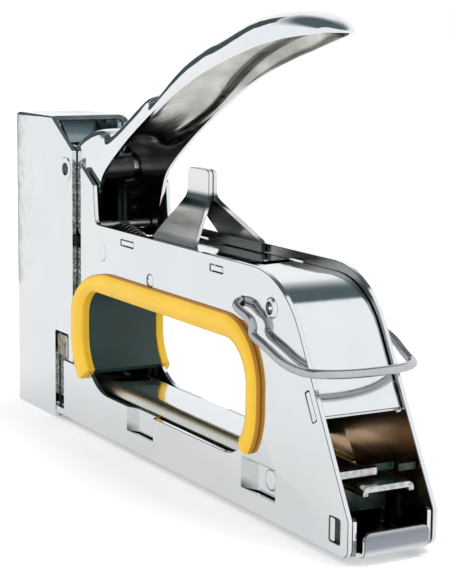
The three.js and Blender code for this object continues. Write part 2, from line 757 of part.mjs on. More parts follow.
// An inverted Y of folded sheet, cut to its side profile.
function handleStop() {
  const foot = BEAM_TOP - COVER.drop + FIT;
  const rightSide = bent([
    [NEST, foot],
    [NEST, STOP.shoulder, BEND],
    [STOP.half, STOP.neck, SHEET_BEND],
    [STOP.half, STOP.top, BEND],
    [0, STOP.top],
  ]);
  const innerRight = bent([
    [NEST - SHEET, foot],
    [STOP_FOOT.wall, STOP.shoulder - BEND, BEND],
    [0, STOP.neck - STOP.half],
  ]);
  const mirrored = (line) => line.slice(0, -1).reverse().map((p) => new THREE.Vector2(-p.x, p.y));
  const section = [
    ...rightSide,
    ...mirrored(rightSide),
    ...mirrored(innerRight).reverse(),
    ...[...innerRight].reverse(),
  ];
  const profile = [
    [STOP_FOOT.front, foot - OVERRUN],
    [STOP_FOOT.rear, foot - OVERRUN],
    [STOP_FOOT.rear, STOP.shoulder],
    [STOP.rear, STOP.neck],
    [STOP.rear, STOP.top + OVERRUN],
    [STOP.front, STOP.top + OVERRUN],
    [STOP.front, STOP.neck],
  ].map(([a, b]) => new THREE.Vector2(a, b));
  const strip = solid(alongX(section, STOP_FOOT.front - OVERRUN, STOP_FOOT.rear + OVERRUN));
  return strip.intersect(solid(acrossY(profile, -BODY_WIDTH, BODY_WIDTH)));
}

function crossPin() {
  return solid(barY(CROSS_PIN.x, CROSS_PIN.z, CROSS_PIN.radius, -PLATE_OUT - FIT, PLATE_OUT + FIT));
}

// Wire bail: out of its hole, back along the plate, round the rear and home again.
function bailPath() {
  const left = BAIL_STATIONS
    .map(([x, share, z]) => new THREE.Vector3(BAIL.x + x, -share * BAIL.half, BAIL.z + z));
  const right = left.slice(0, -1).reverse().map((p) => new THREE.Vector3(p.x, -p.y, p.z));
  return new THREE.CatmullRomCurve3([...left, ...right], false, "centripetal");
}

function bail() {
  const section = new THREE.Shape(circle2(0, 0, BAIL.wire / 2, WIRE_SIDES));
  const path = bailPath();
  const steps = Math.round(path.getLength() / BAIL.wire);
  return new THREE.ExtrudeGeometry(section, { steps, extrudePath: path, bevelEnabled: false });
}

// Grip

// Points round the covered part of the hand hole's edge, from the front foot over the top to the
// rear foot: each has the hole's corner it lies on, its angle, and the matching corner of the
// trim's outer rim.
function gripPlaces() {
  const x1 = HOLE.x + HOLE.length;
  const z1 = HOLE.bottom + HOLE.height;
  const { frontBottom, rearBottom, rearTop, frontTop } = HOLE_RADII;
  const { front, top, rear, cornerLength, cornerHeight } = TRIM_RIM;
  const footAngle = (radius) => Math.asin((GRIP_FOOT - HOLE.bottom - radius) / (radius - TRIM.lip));
  const corner = (x, z, radius, angles, reach, rim = [x, z]) => ({ x, z, radius, angles, reach, rim });
  const corners = [
    corner(HOLE.x + frontBottom, HOLE.bottom + frontBottom, frontBottom,
      [Math.PI - footAngle(frontBottom), Math.PI], [frontBottom + front, frontBottom + front]),
    corner(HOLE.x + frontTop, z1 - frontTop, frontTop, [Math.PI, Math.PI / 2],
      [cornerLength, cornerHeight], [HOLE.x - front + cornerLength, z1 + top - cornerHeight]),
    corner(x1 - rearTop, z1 - rearTop, rearTop, [Math.PI / 2, 0], [rearTop + rear, rearTop + top]),
    corner(x1 - rearBottom, HOLE.bottom + rearBottom, rearBottom,
      [0, footAngle(rearBottom)], [rearBottom + rear, rearBottom + rear]),
  ];
  return corners.flatMap(({ angles, ...rest }) => {
    const places = [];
    for (let i = 0; i <= GRIP_STEPS; i += 1) {
      places.push({ ...rest, angle: angles[0] + (angles[1] - angles[0]) * i / GRIP_STEPS });
    }
    return places;
  });
}

// A point at a distance outwards from the hole's edge; outside the edge the distances are spread
// so that the trim's width reaches its outer rim.
function gripPoint({ x, z, radius, angle, reach, rim }, out) {
  const ray = new THREE.Vector2(Math.cos(angle), Math.sin(angle));
  const edge = new THREE.Vector2(x, z).addScaledVector(ray, radius + Math.min(out, 0));
  const outer = new THREE.Vector2(rim[0] + reach[0] * ray.x, rim[1] + reach[1] * ray.y);
  return edge.lerp(outer, Math.max(out, 0) / TRIM.width);
}

// Sweeps a section along the grip: section points are [outwards from the hole, y].
function alongGrip(section) {
  const rings = gripPlaces().map((place) => section.map(([out, y]) => {
    const at = gripPoint(place, out);
    return new THREE.Vector3(at.x, y, at.y);
  }));
  const band = solid(skinned(rings, section.map(([out, y]) => new THREE.Vector2(out, y))));
  return without(band, block(0, LENGTH, -BODY_WIDTH, BODY_WIDTH, 0, GRIP_FOOT));
}

function gripTrim(side) {
  const face = PLATE_OUT + FIT;
  const { width, lip, crown, round, wrap } = TRIM;
  const section = [
    [-lip, PLATE_IN],
    [-FIT, PLATE_IN],
    [-FIT, face],
    [width - wrap, face],
    [width, face + wrap],
    [width - round / 2, face + crown - round / 2],
    [width - 2 * round, face + crown],
    [2 * round, face + crown],
    [0, face + crown - round / 2],
    [-lip, face + wrap],
  ];
  return alongGrip(section.map(([out, y]) => [out, side * y]));
}

function gripLiner() {
  return alongGrip([[-LINER / 2, -NEST], [LINER / 2, -NEST], [LINER / 2, NEST], [-LINER / 2, NEST]]);
}

// Magazine

function magazineHousing() {
  const { half, top, bottom, radius } = HOUSING;
  const line = bent([[-half, bottom], [-half, top, radius], [half, top, radius], [half, bottom]]);
  return solid(alongX(sheetOutline(line, THIN_SHEET), HOUSING.front, HOUSING.rear));
}

function baseTray() {
  const x1 = LENGTH - TRAY.sheet;
  const floorTop = TRAY.bottom + TRAY.sheet;
  const section = rounded([
    [-NEST, TRAY.bottom, BEND],
    [NEST, TRAY.bottom, BEND],
    [NEST, TRAY.wall],
    [NEST - TRAY.sheet, TRAY.wall],
    [NEST - TRAY.sheet, floorTop],
    [TRAY.sheet - NEST, floorTop],
    [TRAY.sheet - NEST, TRAY.wall],
    [-NEST, TRAY.wall],
  ]);
  const floor = alongX(section, TRAY.front, PLATE.rear - FIT);
  const apron = block(PLATE.rear - OVERRUN, LENGTH - BEND, -LIP.half, LIP.half, TRAY.bottom, floorTop);
  const lip = alongX(box2(-LIP.half, LIP.half, TRAY.bottom, LIP.height, SHEET_BEND), x1, LENGTH);
  const heels = SIDES.flatMap(([, side]) => {
    const inner = side * (NEST - TRAY.sheet);
    const wall = box2(PLATE.rear - HEEL_TAB.wallLength, PLATE.rear - FIT, TRAY.bottom, HEEL_TAB.wallTop);
    return [
      acrossY(wall, Math.min(inner, side * NEST), Math.max(inner, side * NEST)),
      acrossY(heelTabOutline(0), Math.min(inner, side * PLATE_OUT), Math.max(inner, side * PLATE_OUT)),
    ];
  });
  return joined(floor, apron, lip, ...heels);
}

function catchBar() {
  const { x, length, z, thick, notch, notchDepth } = CATCH;
  const bar = block(x, x + length, -NEST, NEST, z, z + thick);
  const rear = x + length;
  const cut = block(rear - notchDepth, rear + OVERRUN, -notch, notch, z - OVERRUN, z + thick + OVERRUN);
  return without(solid(bar), cut);
}

function pusherRod() {
  const shaft = alongX(circle2(0, ROD.z, ROD.radius, PIN_SIDES / 2), ROD.front, UPRIGHT.x - FIT);
  const head = alongX(circle2(0, ROD.z, ROD.head, PIN_SIDES / 2), ROD.front, ROD.front + ROD.headLength);
  return joined(shaft, head);
}

// The pull tab: an upright bracket on the rod's end, and an arched tab behind it.
function pullTab() {
  const { half, top, skirt, radius, sheet, rear } = TAB;
  const arch = bent([[-half, top - skirt], [-half, top, radius], [half, top, radius], [half, top - skirt]]);
  const tab = alongX(sheetOutline(arch, sheet), UPRIGHT.x, rear);
  const upright = block(
    UPRIGHT.x, UPRIGHT.x + UPRIGHT.thick, -UPRIGHT.half, UPRIGHT.half, UPRIGHT.bottom, top - sheet / 2,
  );
  return joined(tab, upright);
}

function followerFront() {
  return ROD.front + ROD.headLength + FIT;
}

function follower() {
  const { length, half, bottom, top } = FOLLOWER;
  const x0 = followerFront();
  const body = alongX(box2(-half, half, bottom, top, BEND), x0, x0 + length);
  const bore = alongX(circle2(0, ROD.z, ROD.radius + FIT, PIN_SIDES / 2), x0 - OVERRUN, x0 + length + OVERRUN);
  return without(solid(body), bore);
}

function followerSpring() {
  const x0 = followerFront() + FOLLOWER.length + FIT;
  const length = UPRIGHT.x - FIT - x0;
  return coil(FOLLOWER_SPRING, length).rotateY(Math.PI / 2).translate(x0, 0, ROD.z);
}

// Assembly

const tool = new THREE.Group();

function place(name, shape, finish) {
  const geometry = shape.isBufferGeometry ? shape : surface(shape);
  const mesh = new THREE.Mesh(geometry, new THREE.MeshStandardMaterial(finish));
  mesh.name = name;
  tool.add(mesh);
}

for (const [name, side] of SIDES) {
  place(`side_plate_${name}`, sidePlate(side), CHROME);
  place(`grip_trim_${name}`, gripTrim(side), YELLOW);
}
place("grip_liner", gripLiner(), SLATE);
place("nose_cap", noseCap(), CHROME);
place("driver_housing", driverHousing(), STEEL);
place("spring_bracket", springBracket(), STEEL);
place("front_guide", frontGuide(), STEEL);
place("driver_blade", driverBlade(), STEEL);
place("plunger", plunger(), DARK_STEEL);
place("power_spring", powerSpring(), DARK_STEEL);
place("bumper", bumper(), RUBBER);
place("nose_key", noseKey(), STEEL);
place("handle_shell", handleShell(), CHROME);
place("pivot_pin", pivotPin(), STEEL);
place("lift_fork", liftFork(), DARK_STEEL);
place("spring_hook_pin", hookPin(), STEEL);
place("anchor_pin", anchorPin(), STEEL);
place("return_spring", returnSpring(), STEEL);
place("top_cover", topCover(), CHROME);
place("handle_stop", handleStop(), CHROME);
place("rear_cross_pin", crossPin(), STEEL);
place("bail", bail(), CHROME);
place("magazine_housing", magazineHousing(), CHROME);
place("base_tray", baseTray(), CHROME);
place("catch_bar", catchBar(), CHROME);
place("pusher_rod", pusherRod(), STEEL);
place("pull_tab", pullTab(), CHROME);
place("follower", follower(), DARK_STEEL);
place("follower_spring", followerSpring(), STEEL);

// The origin is midway along the body, under the nose.
tool.position.set(-LENGTH / 2, 0, NOSE_DROP);

export default tool;
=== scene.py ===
"""Hand staple gun: the finished pieces, their materials and a plain studio round the CAD frame.

Lengths in the tables are millimetres and measured as in the CAD: x runs back from the nose
front, y across the tool (left is negative) and z up from the underside of the beam.
"""
import math
from functools import partial

import bmesh
import bpy
from mathutils import Matrix, Vector
from mathutils.geometry import delaunay_2d_cdt


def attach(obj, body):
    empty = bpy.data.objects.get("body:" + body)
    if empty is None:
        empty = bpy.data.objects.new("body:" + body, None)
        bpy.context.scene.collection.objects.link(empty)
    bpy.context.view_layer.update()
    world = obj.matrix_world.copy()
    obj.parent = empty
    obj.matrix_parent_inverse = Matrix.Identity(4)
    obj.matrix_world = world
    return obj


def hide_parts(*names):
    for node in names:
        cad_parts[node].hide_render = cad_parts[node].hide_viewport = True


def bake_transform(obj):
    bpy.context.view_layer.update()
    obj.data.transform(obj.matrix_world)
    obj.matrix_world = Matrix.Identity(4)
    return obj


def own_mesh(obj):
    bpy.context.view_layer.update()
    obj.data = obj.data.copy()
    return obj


bl_info = {
    "name": "Hand Staple Gun",
    "version": (1, 0, 0),
    "blender": (4, 5, 0),
    "location": "View3D > Sidebar > Staple Gun",
    "description": "Builds the plates, lever, grip and wire parts of a steel hand staple gun",
    "category": "Object",
}

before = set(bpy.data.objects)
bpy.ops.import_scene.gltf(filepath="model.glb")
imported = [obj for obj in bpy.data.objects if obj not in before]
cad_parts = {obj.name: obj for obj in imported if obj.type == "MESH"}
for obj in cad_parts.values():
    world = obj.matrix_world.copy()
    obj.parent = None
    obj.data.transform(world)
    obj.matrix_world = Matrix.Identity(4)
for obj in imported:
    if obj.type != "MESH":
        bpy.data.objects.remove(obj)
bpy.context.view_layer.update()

MM = 0.001
LENGTH = 196.3
NOSE_DROP = 1.6

# Body
BODY_WIDTH = 25
BEAM_TOP = 61.9
NOSE_TOP = 91.3
SHEET = 1.3
FIT = 0.3
PLATE_OUT = BODY_WIDTH / 2
PLATE_IN = PLATE_OUT - SHEET
NEST = PLATE_IN - FIT
SLANT = ((27.7, NOSE_TOP), (57.5, 73.5))
BEND = 0.8
FOLD = 1.6
EDGE = 0.14
ARC_STEP = math.radians(9)
SMOOTH_ANGLE = math.radians(32)
ROUND_ANGLE = math.radians(60)
SHARP_ANGLE = math.radians(40)
WELD = 2e-7
SIDES = {"left": -1, "right": 1}

# Plate: outline corners as (x, z, radius)
PLATE = {"front": 30.9, "rear": 194.5, "post": 49.5, "shelf": 17.5, "step": 36.6, "tongue": 2.2}
SLOPE_TOP = (165, 25)
HEEL = (9, 2.4)
HOLE = {"x0": 51.5, "x1": 150.5, "z0": 12.2, "z1": 43.5}
HOLE_RADII = {"front_bottom": 16, "rear_bottom": 14, "rear_top": 12, "front_top": 10}
COVER_TABS = ((76.8, 84.4), (128.9, 135.2))
COVER = {"sheet": 1.2, "front": 72, "top": 59.3, "inset": 1.5, "bottom": 30.5}
SLOPE_TAB = {"top": 37, "length": 7, "inset": 2.4, "depth": 1.5}
HEEL_TAB = (187, 191, 3, 8.4)
ANCHOR = (94.8, 50.2, 1.8)
CROSS_PIN = (159.5, 52.9, 2.2)
BAIL_HOLE = (144.9, 52.4, 1.35)
POCKETS = (
    {"x0": 80.4, "x1": 97.1, "ramp": 5, "z0": 5.2, "z1": 11, "open_top": True, "mark": None},
    {"x0": 145.5, "x1": 162.6, "ramp": 6.6, "z0": 5.1, "z1": 13.5, "open_top": False,
     "mark": {"x": 157.9, "z": 9.6, "radius": 2.6, "height": 0.4}},
)
POCKET_DEPTH = 1.7
POCKET_STEP = 1.3
POCKET_GAP = 0.4
STAMPED_DISC = {"x": 64.1, "z": 54.2, "radius": 2.6, "height": 0.22}

# Cap over the nose
CAP = {"foot": 30.4, "key_top": 26, "key_rear": 40.4, "seam": 18, "rear": 43.6, "roof_rear": 26}

# Grip
GRIP_FOOT = 15
TRIM = {"width": 5.5, "lip": 1.2, "crown": 1.8}
# The second finish is a darker copy of the yellow on the trims' outer walls: painted shade
TRIM_FINISHES = ("yellow", "shaded yellow")
TRIM_RIM = {"front": 6.3, "top": 5, "rear": 4.7, "corner": (26, 14.8)}

# Lever: pivot as (x, z, radius); points (x, z) of its crown, lower edge and ceiling
PIVOT = (39, 76.2, 2.6)
PIVOT_HEAD = {"radius": 3.6, "thick": 0.15, "middle": 0.8, "dish": 1.9, "depth": 0.6}
RIVET_DOME = 0.8
REACH = 131
LEVER_HALF = 10.9
LEVER_SHEET = 1.1
LEVER_TAPER = 0.77
ARCH = 8
HUB_RADIUS = 7.5
LEVER_CROWN = (
    (39.5, 84.3), (41.5, 85.2), (44.5, 86.7), (48, 88), (52, 89), (56, 89.2), (58.5, 88.4), (61, 87.7),
    (64, 88.6), (68, 90.5), (72.2, 92.7), (78.5, 96.4), (84.6, 100), (87.2, 101.2), (88.6, 99.6),
    (90.2, 98.9), (94, 102), (98.7, 105.8), (103.2, 109.2), (107.8, 111.6), (112.4, 113.5), (119.4, 116),
    (124.6, 117.3), (129.7, 118.9), (134.6, 120.5), (139.5, 121.9), (144.3, 122.8), (149, 123.3),
    (153.5, 123.5), (158, 123.3), (162, 122.6), (165, 121.7), (167.5, 120.6), (169, 119.6), (170, 119.05),
)
LEVER_EDGE = (
    (39.5, 66), (41.5, 61.5), (44.5, 57.8), (47.5, 56.3), (51.5, 56.3), (55, 58.4), (57.4, 66.8),
    (58.9, 72), (60.4, 75.2), (62.6, 77.6), (64.9, 79.3), (67.6, 81.3), (72.8, 84.7), (78.2, 88.1),
    (83.9, 91.3), (90.3, 94.8), (96.2, 97.8), (103.1, 101.2), (107.1, 103), (113.2, 105.5),
    (119.7, 107.8), (124.9, 109.4), (130.1, 110.9), (135.1, 112.3), (140.1, 113.5), (145, 114.8),
    (150, 115.9), (155, 116.9), (160, 117.6), (165, 118.2), (170, 118.7),
)
LEVER_CEILING = (
    (39.5, 84.3), (44.5, 86.2), (50, 87.4), (56, 87.6), (61, 87.5), (68, 89.3), (75, 92.2), (82, 95.2),
    (90, 98.6), (98, 103), (106, 108), (114, 112.3), (122, 115.8), (130, 118.6), (138, 121), (146, 122.7),
    (153.5, 123.3), (160, 122.8), (165, 121.6), (170, 119.05),
)
LEVER_STEPS = 150
CROWN_REACH = 2.2
CEILING_REACH = 7
LEVER_FINISHES = ("lever chrome", "edge", "inner", "shaded_speckle")
CHEEK = (50.3, 77)
TONGUE = {"half": 4.6, "spread": 1.35}
CHEEK_EAR = {"x": (39.5, 49.2), "inner": 8.4, "steps": ((9.5, 50.2, 55.8), (9.8, 50, 52.4))}

# Stop for the lever, and the pieces of the magazine
STOP = {"top": 81.3, "neck": 74, "shoulder": 62.6, "front": 95.4, "rear": 107.5}
STOP_FOOT = {"front": 93.5, "rear": 117, "bottom": 59.6}
HOUSING = {"half": 9, "top": 14.7, "bottom": 1.6, "radius": 4, "front": 5, "rear": 178, "sheet": 1.1}
TRAY = {"front": 37, "bottom": 0.3, "wall": 4.4, "sheet": 1, "lip_half": 9, "lip_top": 6.3, "heel_top": 9.6}
CATCH = {"x0": 184, "x1": 188, "z": 17.2, "thick": 1.7, "notch": 5.8, "notch_depth": 1.6,
         "end": 0.2}
ROD = {"radius": 1.3, "z": 9.2, "front": 18.6, "rear": 180.6, "head": 2.1, "head_length": 1.4}
UPRIGHT = {"x": 180.9, "bottom": 7, "half": 6.4, "thick": 1.4}
TAB = {"rear": 192.4, "half": 7.1, "top": 15.9, "skirt": 2.2, "radius": 1.7, "sheet": 1.4}
HOOK_PIN = (50.5, 60.2, 1.4)

# Wire bail, from its hole to the middle of its bow: back, share of its half width, up
BAIL = {"x": 144.9, "z": 52.4, "wire": 2.2, "half": 14.8}
BAIL_STATIONS = (
    (0, 0.7635, 0), (0, 0.8784, 0), (1.5, 0.9865, -0.9), (4.5, 1, -1.9), (8.4, 1, -3),
    (9.8, 1, -4.6), (9.7, 1, -6), (11, 1, -7.1), (17, 1, -8.8), (22.5, 1, -10.5),
    (27, 1, -11.3), (31.6, 1, -11.5), (35.3, 0.9662, -11.4), (38.1, 0.8243, -11.3),
    (39.9, 0.5811, -11.3), (40.7, 0.2973, -11.3), (40.9, 0, -11.3),
)
BAIL_FAR = (
    (0, 0.7635, 0), (0, 0.8784, 0), (1.5, 0.9865, -0.8), (4.5, 1, -1.5), (8.2, 1, -2.3),
    (9.7, 1, -3.2), (10.2, 1, -4.1), (12.5, 1, -4.6), (17, 1, -5), (22.5, 1, -5.9),
    (27.2, 1, -7.4), (31.2, 1, -9.6), (34.3, 1, -11), (37, 0.9, -11.3),
    (39.4, 0.65, -11.3), (40.6, 0.32, -11.3), (40.9, 0, -11.3),
)

# Springs: radius of the coil, wire, turns
POWER_SPRING = {"radius": 4.3, "wire": 1.8, "turns": 9, "x": 14.6, "z0": 47.3, "z1": 89.4 - 1.3}
RETURN_SPRING = {"radius": 1.8, "wire": 0.8, "turns": 22}
FOLLOWER_SPRING = {"radius": 2.6, "wire": 0.8, "turns": 40, "x0": 30.2, "x1": 180.6, "z": 9.2}

# Inputs of the node trees: name, kind and plain value
WIRE_SOCKETS = (("Geometry", "Geometry", None), ("Wire Radius", "Float", 0.001), ("Wire Sides", "Int", 16),
                ("Wire Material", "Material", None))
COIL_SOCKETS = (("Coil Radius", "Float", 0.004), ("Length", "Float", 0.04), ("Turns", "Float", 9.0),
                ("Steps per Turn", "Int", 20))

# Grain of the metals along x, y and z, and the tone of the painted shade on pressed sheet
EVEN = (1, 1, 1)
DRAWN = (0.2, 1, 1)
PAINTED_SHADE_TONE = (0.09, 0.115, 0.12)

# Stage: two ends and height of the dark card, in metres; where the ceiling turns dark
FLOOR_DROP = -0.0002
FLOOR_LIFT = 0.21
CARD = ((-0.36, -0.1), (-0.36, 0.09), 0.42)
CEILING = (0.48, 0.78)
AMBIENT = 0.9
SUN = {"from": (0.25, 0.32, 1.0), "energy": 0.7, "softness": 24}
FILL = {"from": (0.3, -0.8, 0.55), "energy": 0.42, "softness": 60}
FLOOR_SHINE = {"share": 0.5, "level": 0.84}


# Points and outlines

def at(x, y, z):
    """A point of the tool in metres, in the frame that the CAD nodes share."""
    return Vector(((x - LENGTH / 2) * MM, y * MM, (z + NOSE_DROP) * MM))


def wall(side, inner, outer):
    """Two distances from the middle plane on one side of the tool, in rising order."""
    return sorted((side * inner, side * outer))


def corner_arc(here, before, after, radius, step=ARC_STEP):
    """Points of one rounded corner between its two neighbours."""
    if radius <= 0:
        return [here.copy()]
    into = (before - here).normalized()
    out = (after - here).normalized()
    half = math.acos(max(-1.0, min(1.0, into.dot(out)))) / 2
    centre = here + (into + out).normalized() * (radius / math.sin(half))
    start = here + into * (radius / math.tan(half)) - centre
    end = here + out * (radius / math.tan(half)) - centre
    turn = math.atan2(start.x * end.y - start.y * end.x, start.dot(end))
    count = max(2, math.ceil(abs(turn) / step))
    return [centre + Matrix.Rotation(turn * i / count, 2) @ start for i in range(count + 1)]


def rounded(corners):
    """A closed outline from corners (a, b, radius)."""
    spots = [Vector(c[:2]) for c in corners]
    radii = [c[2] if len(c) > 2 else 0 for c in corners]
    points = []
    for i, spot in enumerate(spots):
        points += corner_arc(spot, spots[i - 1], spots[(i + 1) % len(spots)], radii[i])
    return points


def bent(corners):
    """An open line whose inner corners are rounded."""
    spots = [Vector(c[:2]) for c in corners]
    points = [spots[0]]
    for i in range(1, len(spots) - 1):
        radius = corners[i][2] if len(corners[i]) > 2 else 0
        points += corner_arc(spots[i], spots[i - 1], spots[i + 1], radius)
    return points + [spots[-1]]


def shifted(line, distance, closed=False):
    """The line moved to the left of its direction, with mitred corners."""
    count = len(line)
    moved = []
    for i, point in enumerate(line):
        back = line[i - 1] if closed or i else point
        ahead = line[(i + 1) % count] if closed or i + 1 < count else point
        into = (point - back).normalized() if (point - back).length > 1e-9 else None
        out = (ahead - point).normalized() if (ahead - point).length > 1e-9 else None
        into = into or out
        out = out or into
        along = (into + out).normalized()
        reach = max(along.dot(into), 0.6)
        moved.append(point + Vector((-along.y, along.x)) * (distance / reach))
    return moved


def folded(line, sheet):
    """Edge view of a bent sheet: the line is its outer face and the sheet lies to its right."""
    return list(line) + shifted(line, -sheet)[::-1]


def box2(a0, a1, b0, b1, radius=0):
    return rounded([(a0, b0, radius), (a1, b0, radius), (a1, b1, radius), (a0, b1, radius)])


def circle2(a, b, radius, sides=40):
    angles = [2 * math.pi * i / sides for i in range(sides)]
    return [Vector((a + radius * math.cos(t), b + radius * math.sin(t))) for t in angles]


def area2(loop):
    return sum(p.x * loop[i - 1].y - loop[i - 1].x * p.y for i, p in enumerate(loop)) / -2


def inside2(point, loop):
    hit = False
    for i, a in enumerate(loop):
        b = loop[i - 1]
        if (a.y > point.y) != (b.y > point.y):
            if point.x < (b.x - a.x) * (point.y - a.y) / (b.y - a.y) + a.x:
                hit = not hit
    return hit


def smooth_step(value):
    value = max(0.0, min(1.0, value))
    return value * value * (3 - 2 * value)


def slant_height(x):
    (x0, z0), (x1, z1) = SLANT
    return z0 + (x - x0) / (x1 - x0) * (z1 - z0)


def spline_through(points, steps):
    """Points of a smooth curve through the given ones."""
    fine = []
    for i in range(len(points) - 1):
        p0 = points[max(i - 1, 0)]
        p1, p2 = points[i], points[i + 1]
        p3 = points[min(i + 2, len(points) - 1)]
        for k in range(steps):
            t = k / steps
            fine.append(0.5 * (2 * p1 + (p2 - p0) * t + (2 * p0 - 5 * p1 + 4 * p2 - p3) * t * t
                               + (3 * p1 - p0 - 3 * p2 + p3) * t * t * t))
    return fine + [points[-1]]


# Meshes

AXES = {"x": lambda a, b, c: at(c, a, b), "y": lambda a, b, c: at(a, c, b), "z": at}


def mesh_from(name, verts, faces):
    mesh = bpy.data.meshes.new(name)
    mesh.from_pydata([tuple(v) for v in verts], [], faces)
    mesh.validate()
    return mesh


def cleaned(mesh, merge=WELD, flat=0.0):
    """Welds the mesh and turns its faces outwards; with flat, faces within that angle are joined."""
    work = bmesh.new()
    work.from_mesh(mesh)
    bmesh.ops.remove_doubles(work, verts=work.verts, dist=merge)
    if flat:
        bmesh.ops.dissolve_limit(work, angle_limit=flat, verts=work.verts, edges=work.edges)
    else:
        bmesh.ops.dissolve_degenerate(work, dist=merge, edges=work.edges)
    bmesh.ops.recalc_face_normals(work, faces=work.faces)
    work.to_mesh(mesh)
    work.free()
    return mesh


def linked(name, data):
    obj = bpy.data.objects.new(name, data)
    bpy.context.scene.collection.objects.link(obj)
    return obj


def modifier(obj, kind, **settings):
    step = obj.modifiers.new(kind.lower(), kind)
    for key, value in settings.items():
        setattr(step, key, value)
    return step


def baked(obj):
    """The object's shape with its modifiers, as a plain mesh; the modifiers and the object go."""
    bpy.context.view_layer.update()
    graph = bpy.context.evaluated_depsgraph_get()
    mesh = bpy.data.meshes.new_from_object(obj.evaluated_get(graph))
    for step in list(obj.modifiers):
        obj.modifiers.remove(step)
    bpy.data.objects.remove(obj)
    return mesh


def drawn(lines, closed, **settings):
    """A curve object with straight runs between the points of its lines."""
    curve = bpy.data.curves.new("path", "CURVE")
    for key, value in settings.items():
        setattr(curve, key, value)
    for line in lines:
        spline = curve.splines.new("POLY")
        spline.points.add(len(line) - 1)
        for knot, point in zip(spline.points, line):
            knot.co = (*point.to_3d(), 1)
        spline.use_cyclic_u = closed
    return linked("path", curve)


def cut_sheet(loops, lo, hi, axis="y", edge=EDGE):
    """A flat piece with eased edges: loops are its outline and holes, lo and hi its two faces."""
    mesh = baked(drawn(loops, True, dimensions="2D", fill_mode="BOTH", extrude=(hi - lo) / 2))
    for vertex in mesh.vertices:
        a, b, c = vertex.co
        vertex.co = AXES[axis](a, b, c + (hi + lo) / 2)
    return eased(cleaned(mesh), edge)


def grid_faces(rows, columns, around=False):
    """Faces of a grid of points, row by row; around joins the two ends of each row."""
    return [(i * columns + j, i * columns + (j + 1) % columns,
             (i + 1) * columns + (j + 1) % columns, (i + 1) * columns + j)
            for i in range(rows - 1) for j in range(columns if around else columns - 1)]


def loft(rings, close_ends=True):
    """Skins closed rings of points in metres."""
    count, last = len(rings[0]), (len(rings) - 1) * len(rings[0])
    faces = grid_faces(len(rings), count, True)
    if close_ends:
        faces += [tuple(range(count)), tuple(range(last + count - 1, last - 1, -1))]
    return cleaned(mesh_from("loft", [p for ring in rings for p in ring], faces))


def prism(loop, lo, hi, axis="y"):
    """A sharp-edged prism, used to cut others or to be eased afterwards."""
    return loft([[AXES[axis](p.x, p.y, c) for p in loop] for c in (lo, hi)])


def block(x0, x1, y0, y1, z0, z1):
    return prism(box2(x0, x1, z0, z1), y0, y1)


def lathe(profile, centre, sides=48, axis="y"):
    """Turns a profile of (radius, distance along the axis) about an axis through its centre."""
    turns = [2 * math.pi * i / sides for i in range(sides)]
    return loft([[AXES[axis](centre[0] + r * math.cos(t), centre[1] + r * math.sin(t), along)
                  for t in turns] for r, along in profile], False)


def leaf(rows, sheet):
    """A bent sheet from rows of surface points (x, y, z); the sheet lies behind them."""
    verts = [at(*p) for row in rows for p in row]
    obj = linked("leaf", mesh_from("leaf", verts, grid_faces(len(rows), len(rows[0]))))
    modifier(obj, "SOLIDIFY", thickness=abs(sheet) * MM, offset=-1 if sheet > 0 else 1,
             use_even_offset=True)
    return eased(cleaned(baked(obj)))


def combined(mesh, *others, operation="DIFFERENCE"):
    """Boolean of a mesh with others."""
    base = linked("base", mesh)
    tools = [linked("tool", other) for other in others]
    for tool in tools:
        modifier(base, "BOOLEAN", operation=operation, object=tool, solver="EXACT", material_mode="INDEX")
    result = baked(base)
    for tool in tools:
        bpy.data.objects.remove(tool)
    return result


def eased(mesh, width=EDGE):
    """Breaks the sharp edges of a mesh; the narrow faces this makes take its second material."""
    while len(mesh.materials) < 2:
        mesh.materials.append(None)
    obj = linked("eased", mesh)
    modifier(obj, "BEVEL", width=width * MM, segments=1, limit_method="ANGLE", angle_limit=SHARP_ANGLE,
             use_clamp_overlap=True, material=1)
    return baked(obj)


def merged(*meshes):
    """Several closed meshes as one."""
    work = bmesh.new()
    for mesh in meshes:
        work.from_mesh(mesh)
    whole = bpy.data.meshes.new("merged")
    work.to_mesh(whole)
    work.free()
    return whole


def painted(mesh, index, test=None):
    """The faces that pass a test take the finish with this index."""
    for face in mesh.polygons:
        if test is None or test(face):
            face.material_index = index
    return mesh


# Materials

class Nodes:
    """Adds nodes to a tree: an input given as a socket is linked, any other value is set."""

    def __init__(self, tree):
        self.tree = tree

    def feed(self, node, key, value):
        if isinstance(value, bpy.types.NodeSocket):
            self.tree.links.new(value, node.inputs[key])
        else:
            node.inputs[key].default_value = value

    def add(self, kind, inputs=None, **settings):
        node = self.tree.nodes.new(kind)
        for key, value in settings.items():
            setattr(node, key, value)
        for key, value in (inputs or {}).items():
            self.feed(node, key, value)
        return node

    def maths(self, operation, first, second):
        return self.add("ShaderNodeMath", {0: first, 1: second}, operation=operation).outputs["Value"]

    def ranged(self, value, low, high, start=0.35, end=0.65, kind="LINEAR"):
        inputs = {"Value": value, "From Min": start, "From Max": end, "To Min": low, "To Max": high}
        return self.add("ShaderNodeMapRange", inputs, interpolation_type=kind).outputs["Result"]

    def mixed(self, factor, first, second):
        """A mix of two colours, each three numbers or a socket."""
        first, second = (c if isinstance(c, bpy.types.NodeSocket) else (*c, 1) for c in (first, second))
        inputs = {"Factor": factor, "A": first, "B": second}
        return self.add("ShaderNodeMix", inputs, data_type="RGBA").outputs["Result"]

    def split(self, space):
        """The three coordinates of the piece's own space or of the world's."""
        place = self.add("ShaderNodeTexCoord").outputs[space]
        return self.add("ShaderNodeSeparateXYZ", {"Vector": place}).outputs


